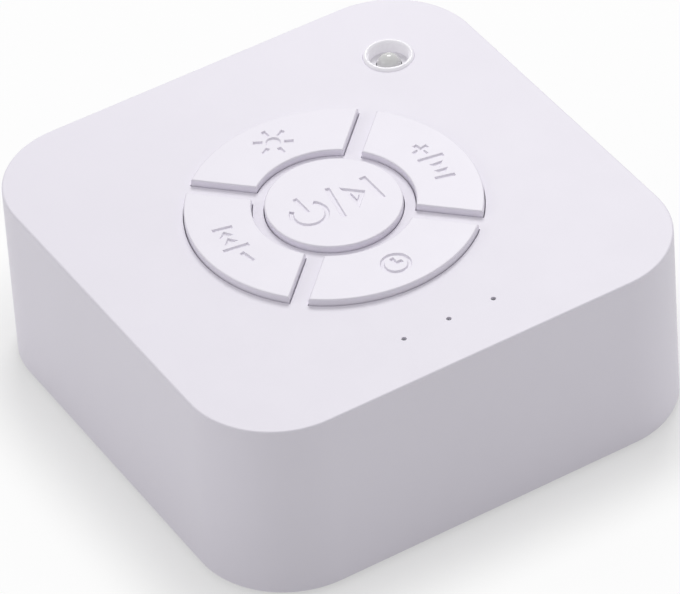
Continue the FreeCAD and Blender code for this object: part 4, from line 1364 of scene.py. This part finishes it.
@dataclass
class KeySet(SubAssembly):
    """The round key and the four ring keys, each on its own body. Sizes in metres."""

    plan: KeyPlan = KeyPlan()
    gap: float = 0.2 * MM
    edge_r: float = 0.3 * MM
    skin: float = 1.8 * MM
    wall: float = 1.6 * MM
    flange: float = 1.0 * MM
    flange_lip: float = 0.85 * MM
    stem_r: float = 2.4 * MM
    stem_below: float = 1.4 * MM
    over: float = 0.6 * MM
    groove: float = 0.35 * MM
    groove_over: float = 0.1 * MM
    hair: float = 0.002 * MM

    def build(self) -> None:
        """Model each key and put it in place of its CAD node."""
        low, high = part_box("power_key")
        ring_keys = [key for key in Key if key.direction is not None]
        blanks = Bench.repeat(self._cap(Key.LIGHT, low.z, high.z), [(0.0, 0.0)] * len(ring_keys))
        caps = {Key.POWER: self._cap(Key.POWER, low.z, high.z), **dict(zip(ring_keys, blanks))}
        for key, cap in caps.items():
            node = f"{key.label}_key"
            cap.name = f"{node}_cap"
            self._engrave(cap, key, high.z)
            self.plan.settle(cap, key)
            Bench.finish(cap)
            self.fit(cap, node, node)

    def _cap(self, key: Key, stem_z0: float, top: float) -> Piece:
        """Hollow cap at +Y with its flange and stem."""
        foot = stem_z0 + self.stem_below
        cap = self.plan.form(key, -self.gap, foot + self.flange / 2, top)
        Bench.bevel_level(cap, top, self.edge_r)
        flange = self.plan.form(key, self.flange_lip - self.gap, foot, foot + self.flange)
        Bench.combine(cap, [flange], Cut.ADD)
        hollow = self.plan.form(key, -self.gap - self.wall, foot - self.over, top - self.skin)
        Bench.combine(cap, [hollow], Cut.AWAY)
        stem_y = 0.0 if key.direction is None else (self.plan.inner_r + self.plan.outer_r) / 2
        stem = Bench.drum("stem", self.stem_r, stem_z0, top - self.skin + self.over, (0.0, stem_y))
        Bench.combine(cap, [stem], Cut.ADD)
        return cap

    def _engrave(self, cap: Piece, key: Key, top: float) -> None:
        """Cut a key's legend into its cap."""
        inward = key in (Key.TIMER, Key.PREVIOUS)
        for index, (along, mark) in enumerate(LEGENDS[key]):
            engraver = Engraver(top, self.groove + index * self.hair, self.groove_over + index * self.hair)
            tool = mark.tool(engraver)
            if key.direction is not None:
                engraver.on_ring(tool, along, inward)
            Bench.combine(cap, [tool], Cut.AWAY)


@dataclass
class NightLight(SubAssembly):
    """Lens ring, spacer and lamp in the back right corner. Sizes in metres."""

    bore_r: float = 3.95 * MM
    barrel_r: float = 4.9 * MM
    rim_r: float = 0.45 * MM
    flange: float = 1.0 * MM
    cup: float = 2.55 * MM
    lamp_gap: float = 0.15 * MM
    spacer_gap: float = 0.1 * MM
    dome_share: float = 0.995
    dome_steps: int = 14

    def build(self) -> None:
        """Model the ring, spacer and lamp and put them in place of their CAD nodes."""
        low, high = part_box("night_light_bezel")
        place = Matrix.Translation(((low.x + high.x) / 2, (low.y + high.y) / 2, 0.0))
        flange_r = (high.x - low.x) / 2
        ring = Bench.tube("night_light_ring", (self.bore_r, self.barrel_r), (low.z, high.z), self.rim_r)
        lip = Bench.tube("ring_lip", (self.bore_r, flange_r), (low.z, low.z + self.flange))
        Bench.combine(ring, [lip], Cut.ADD)
        lamp_low, lamp_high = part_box("night_light_lamp")
        lamp_r = (lamp_high.x - lamp_low.x) / 2
        bore = lamp_r + self.lamp_gap
        neck_r = self.bore_r - self.spacer_gap
        spacer = Bench.tube("night_light_spacer", (bore, neck_r), (lamp_low.z, high.z - self.cup))
        base = Bench.tube("spacer_base", (bore, flange_r), (lamp_low.z, low.z))
        Bench.combine(spacer, [base], Cut.ADD)
        lamp = Bench.drum("night_light_dome", lamp_r, lamp_low.z, lamp_high.z)
        Bench.bevel_level(lamp, lamp_high.z, lamp_r * self.dome_share, self.dome_steps)
        for piece, node in (
            (ring, "night_light_bezel"),
            (spacer, "night_light_holder"),
            (lamp, "night_light_lamp"),
        ):
            Bench.lay(piece, place)
            Bench.finish(piece)
            self.fit(piece, node, "case")


@dataclass
class Underside(SubAssembly):
    """Bottom cover, feet, screws, light guide and charging socket. Sizes in metres."""

    plate_t: float = 2.0 * MM
    corner_inset: float = 32.0 * MM
    foot_xy: Pair = (28.0 * MM, 38.0 * MM)
    foot_r: float = 5.0 * MM
    foot_edge_r: float = 0.5 * MM
    foot_gap: float = 0.1 * MM
    screw_xy: float = 39.5 * MM
    head_r: float = 2.6 * MM
    head_h: float = 1.7 * MM
    head_gap: float = 0.4 * MM
    head_edge_r: float = 0.3 * MM
    shank_r: float = 1.25 * MM
    shank_gap: float = 0.25 * MM
    cross: tuple[float, float, float] = (2.86 * MM, 0.72 * MM, 0.85 * MM)
    boss_r: float = 4.4 * MM
    boss_h: float = 2.5 * MM
    boss_floor: float = 1.6 * MM
    speaker_y: float = -13.0 * MM
    speaker_screw: float = 21.5 * MM
    speaker_post: Pair = (2.8 * MM, 1.0 * MM)
    speaker_pilot: Pair = (1.06 * MM, 2.3 * MM)
    hole_r: float = 1.1 * MM
    hole_pitch: float = 4.4 * MM
    hole_rings: int = 4
    saddle_x: tuple[float, ...] = (-30.0 * MM, -10.0 * MM, 10.0 * MM, 30.0 * MM)
    saddle: tuple[float, float, float] = (2.0 * MM, 22.6 * MM, 6.0 * MM)
    cell_gap: float = 0.1 * MM
    over: float = 1.0 * MM
    hair: float = 0.01 * MM
    refined: tuple[str, ...] = ("timer_light_guide", "usb_socket")

    def build(self) -> None:
        """Model the cover, feet and screws and dress the rest."""
        low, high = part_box("bottom_cover")
        plate_top = low.z + self.plate_t
        boss_top = plate_top + self.boss_h
        self.fit(self._cover(low.z, high.x, plate_top, boss_top), "bottom_cover", "case")
        self.fit(self._feet(), "rubber_feet", "case")
        self.fit(self._screws(boss_top - self.boss_floor), "housing_screws", "case")
        for node in self.refined:
            self.refine(node, "case")

    def _feet(self) -> Piece:
        """Four round feet with a rounded lower edge."""
        low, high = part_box("rubber_feet")
        foot = Bench.drum("rubber_feet_pads", self.foot_r, low.z, high.z)
        Bench.bevel_level(foot, low.z, self.foot_edge_r)
        Bench.finish(foot)
        return Bench.join(Bench.repeat(foot, corners(*self.foot_xy)))

    def _screws(self, seat: float) -> Piece:
        """Four pan-head screws with a cross recess, heads down."""
        screw = Bench.drum("housing_screw_set", self.head_r, seat - self.head_h, seat)
        Bench.bevel_level(screw, seat - self.head_h, self.head_edge_r)
        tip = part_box("housing_screws")[1].z
        shank = Bench.drum("shank", self.shank_r, seat - self.head_h / 4, tip, sides=Sides.SMALL)
        Bench.combine(screw, [shank], Cut.ADD)
        length, width, depth = self.cross
        for index, size in enumerate(((length, width), (width, length))):
            reach = 2 * (depth + index * self.hair)
            arm = Bench.bar("cross_arm", (*size, reach), (0.0, 0.0, seat - self.head_h))
            Bench.combine(screw, [arm], Cut.AWAY)
        Bench.finish(screw)
        return Bench.join(Bench.repeat(screw, corners(self.screw_xy, self.screw_xy)))

    def _cover(self, z0: float, half: float, plate_top: float, boss_top: float) -> Piece:
        """Plate with bosses, speaker posts, cell saddles, recesses and sound holes."""
        cover = Bench.rounded_square("cover_plate", half, half - self.corner_inset, z0)
        Bench.extrude(cover, (0.0, 0.0, self.plate_t))
        mid = z0 + self.plate_t / 2
        posts = corners(self.screw_xy, self.screw_xy)
        speaker_posts = [(x, y + self.speaker_y) for x, y in corners(self.speaker_screw, self.speaker_screw)]
        post_r, post_h = self.speaker_post
        added = Bench.drums("boss", self.boss_r, mid, boss_top, posts)
        added += Bench.drums("speaker_post", post_r, mid, plate_top + post_h, speaker_posts)
        width, length, rise = self.saddle
        cell_y = middle("battery_cell", 1)
        for x in self.saddle_x:
            height = plate_top + rise - mid
            added.append(Bench.bar("saddle", (width, length, height), (x, cell_y, mid + height / 2)))
        Bench.combine(cover, added, Cut.ADD)
        Bench.combine(cover, self._cover_cuts(z0, plate_top, boss_top, posts, speaker_posts), Cut.AWAY)
        shank_r = self.shank_r + self.shank_gap
        shanks = Bench.drums("shank_tool", shank_r, mid, boss_top + self.over, posts, Sides.SMALL)
        Bench.combine(cover, shanks, Cut.AWAY)
        Bench.finish(cover)
        return cover

    def _cover_cuts(
        self,
        z0: float,
        plate_top: float,
        boss_top: float,
        posts: Sequence[Pair],
        speaker_posts: Sequence[Pair],
    ) -> list[Piece]:
        """Tools for the recesses, pilots, sound holes and the cell's cradle."""
        below = z0 - self.over
        head_r = self.head_r + self.head_gap
        foot_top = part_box("rubber_feet")[1].z
        pilot_r, pilot_z0 = self.speaker_pilot
        above = plate_top + self.speaker_post[1] + self.over
        tools = Bench.drums("head_tool", head_r, below, boss_top - self.boss_floor, posts)
        foot_r = self.foot_r + self.foot_gap
        tools += Bench.drums("foot_tool", foot_r, below, foot_top, corners(*self.foot_xy))
        tools += Bench.drums("pilot_tool", pilot_r, pilot_z0, above, speaker_posts, Sides.SMALL)
        holes = []
        for ring in range(self.hole_rings + 1):
            count = max(1, 6 * ring)
            reach = self.hole_pitch * ring
            for index in range(count):
                turn = 2 * math.pi * index / count
                holes.append((reach * math.cos(turn), self.speaker_y + reach * math.sin(turn)))
        tools += Bench.drums("hole_tool", self.hole_r, below, plate_top + self.over, holes, Sides.HOLE)
        low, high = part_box("battery_cell")
        cell = Bench.primitive(
            "cell_tool",
            bpy.ops.mesh.primitive_cylinder_add,
            vertices=int(Sides.BORE),
            radius=(high.y - low.y) / 2 + self.cell_gap,
            depth=high.x - low.x + 2 * self.over,
            location=(0.0, middle("battery_cell", 1), middle("battery_cell", 2)),
            rotation=(0.0, math.pi / 2, 0.0),
        )
        return [*tools, cell]


@dataclass
class Internals(SubAssembly):
    """Every other piece keeps its CAD mesh and takes its slot's finish."""

    def build(self) -> None:
        """Give each shown CAD node its material."""
        for node, piece in frame["nodes"].items():
            if piece.hide_render:
                continue
            slot = self.palette.slot_of[node]
            for index in range(max(1, len(piece.material_slots))):
                if not piece.material_slots:
                    piece.data.materials.append(None)
                piece.material_slots[index].link = "OBJECT"
                piece.material_slots[index].material = self.palette.material(slot)
            LOG.info("%s keeps its mesh, in %s", node, slot)


@dataclass(frozen=True)
class Lamp:
    """A square soft lamp.

    Attributes:
        name: Its name.
        turn_deg: Direction that it shines from, about Z from +X.
        rise_deg: Height of that direction.
        distance: Distance from the object, in metres.
        side: Side of its square, in metres.
        level: Light on a surface that faces it, where 1 shows a colour as written.
    """

    name: str
    turn_deg: float
    rise_deg: float
    distance: float
    side: float
    level: float

    def hang(self, target: Vector) -> None:
        """Place the lamp so that it faces the target."""
        turn = math.radians(self.turn_deg)
        rise = math.radians(self.rise_deg)
        way = Vector((math.cos(turn) * math.cos(rise), math.sin(turn) * math.cos(rise), math.sin(rise)))
        light = bpy.data.lights.new(self.name, "AREA")
        light.size = self.side
        light.energy = self.level * (math.pi * self.distance) ** 2
        lamp = bpy.data.objects.new(self.name, light)
        lamp.location = target + way * self.distance
        lamp.rotation_euler = way.to_track_quat("Z", "Y").to_euler()
        bpy.context.scene.collection.objects.link(lamp)


@dataclass
class Studio:
    """White floor, soft lamps and the camera.

    Attributes:
        azimuth_deg: Camera direction about Z, from the front.
        elevation_deg: Camera height as an angle.
        roll_deg: Turn about the line of sight.
        distance: From the camera to its target, in metres.
        focal_mm: Focal length of the lens.
        sensor_mm: Width of the sensor.
        target: What the camera looks at, in metres.
        lit: What the lamps shine at, in metres.
        paint: Darkest and lightest tone of the floor.
        sky: Light from all around.
        floor_side: Side of the floor.
        floor_drop: How far the floor lies under the feet, so that the two don't share a plane.
        footprint: Half of the case's straight side and its corner radius.
        shadow_reach: How far from the case the shadow fades out.
        near_share: Share of plain white in the floor beside the case.
        far_share: Share of plain white farther away.
    """

    azimuth_deg: float = -29.195
    elevation_deg: float = 40.437
    roll_deg: float = -4.035
    distance: float = 0.986667
    focal_mm: float = 280.95
    sensor_mm: float = 36.0
    target: Point = (-0.00237, -0.00399, 0.021)
    lit: Point = (0.0, 0.0, 0.02)
    paint: Pair = (0.79, 0.81)
    sky: float = 0.50
    floor_side: float = 4.0
    floor_drop: float = 0.02 * MM
    footprint: Pair = (32.0 * MM, 18.54 * MM)
    # shadow_reach: How far from the case the greyer floor fades out, where the real shadow shows through and
    # shade is painted in.
    shadow_reach: float = 20.0 * MM
    # near_share: Share of plain white in the floor beside the case, kept low so that the floor there is
    # painted darker.
    near_share: float = 0.48
    far_share: float = 0.94

    def build(self) -> None:
        """Set up the whole studio."""
        self._floor()
        self._world()
        for lamp in (
            Lamp("key_lamp", 52.0, 48.0, 1.0, 0.40, 0.41),
            Lamp("side_lamp", 165.0, 28.0, 0.9, 0.5, 0.12),
            Lamp("low_lamp", -35.0, 15.0, 0.9, 0.4, 0.07),
        ):
            lamp.hang(Vector(self.lit))
        self._camera()
        bpy.context.scene.view_settings.view_transform = "Standard"

    def _floor(self) -> None:
        """Add the floor: white to the camera but for the object's shadow and a painted shade that greys it
        near the case, and clear from below.
        """
        add = bpy.ops.mesh.primitive_plane_add
        floor = Bench.primitive("floor", add, size=self.floor_side, location=(0.0, 0.0, -self.floor_drop))
        graph = ShaderGraph(bpy.data.materials.new("floor_white"))
        speckle = graph.noise(30.0)
        paint = graph.blend(speckle, *((tone, tone, tone) for tone in self.paint))
        matt = graph.add("ShaderNodeBsdfDiffuse", sockets={"Color": paint})
        glow = graph.add("ShaderNodeEmission", sockets={"Strength": 1.0})
        # Painted shade: less plain white near the case lets the real shadow show and greys the floor there
        # even where it is lit.
        share = graph.seen() * self._white_share(graph)
        mixed = graph.add("ShaderNodeMixShader", sockets={0: share, 1: graph.out(matt), 2: graph.out(glow)})
        below = graph.out(graph.add("ShaderNodeNewGeometry"), "Backfacing")
        clear = graph.out(graph.add("ShaderNodeBsdfTransparent"))
        shown = graph.add("ShaderNodeMixShader", sockets={0: below, 1: graph.out(mixed), 2: clear})
        graph.end("ShaderNodeOutputMaterial", graph.out(shown))
        floor.data.materials.append(graph.owner)

    def _white_share(self, graph: ShaderGraph) -> Signal:
        """Share of plain white in the floor, which grows with the distance from the case, so the floor is
        painted darker near the case.
        """
        straight, corner = self.footprint
        across, along, _ = graph.axes()
        beyond_x = graph.maths("MAXIMUM", graph.maths("ABSOLUTE", across) - straight, 0.0)
        beyond_y = graph.maths("MAXIMUM", graph.maths("ABSOLUTE", along) - straight, 0.0)
        gap = (beyond_x * beyond_x + beyond_y * beyond_y) ** 0.5 - corner
        share = graph.maths("MINIMUM", graph.maths("MAXIMUM", gap / self.shadow_reach, 0.0), 1.0)
        eased = share * share * (3.0 - share * 2.0)
        return eased * (self.far_share - self.near_share) + self.near_share

    def _world(self) -> None:
        """Even light from all around, seen as white."""
        graph = ShaderGraph(bpy.data.worlds.new("studio"))
        strength = graph.seen() * (1.0 - self.sky) + self.sky
        white = {"Color": (1.0, 1.0, 1.0, 1.0), "Strength": strength}
        graph.end("ShaderNodeOutputWorld", graph.out(graph.add("ShaderNodeBackground", sockets=white)))
        bpy.context.scene.world = graph.owner

    def _camera(self) -> None:
        """Place the camera at the photograph's view."""
        turn = math.radians(self.azimuth_deg)
        rise = math.radians(self.elevation_deg)
        roll = math.radians(self.roll_deg)
        back = Vector((math.sin(turn) * math.cos(rise), -math.cos(turn) * math.cos(rise), math.sin(rise)))
        right = Vector((math.cos(turn), math.sin(turn), 0.0))
        up = back.cross(right)
        across = right * math.cos(roll) + up * math.sin(roll)
        over = up * math.cos(roll) - right * math.sin(roll)
        data = bpy.data.cameras.new("camera")
        data.lens = self.focal_mm
        data.sensor_width = self.sensor_mm
        camera = bpy.data.objects.new("camera", data)
        turned = Matrix((across, over, back)).transposed()
        stand = Matrix.Translation(Vector(self.target) + back * self.distance)
        camera.matrix_world = stand @ turned.to_4x4()
        bpy.context.scene.collection.objects.link(camera)
        bpy.context.scene.camera = camera


def main() -> None:
    """Build the machine and its studio."""
    logging.basicConfig(level=logging.INFO, format="%(message)s")
    palette = Palette(frame["record"])
    CaseShell(palette).build()
    KeySet(palette).build()
    NightLight(palette).build()
    Underside(palette).build()
    Internals(palette).build()
    Studio().build()


if __name__ == "__main__":
    main()
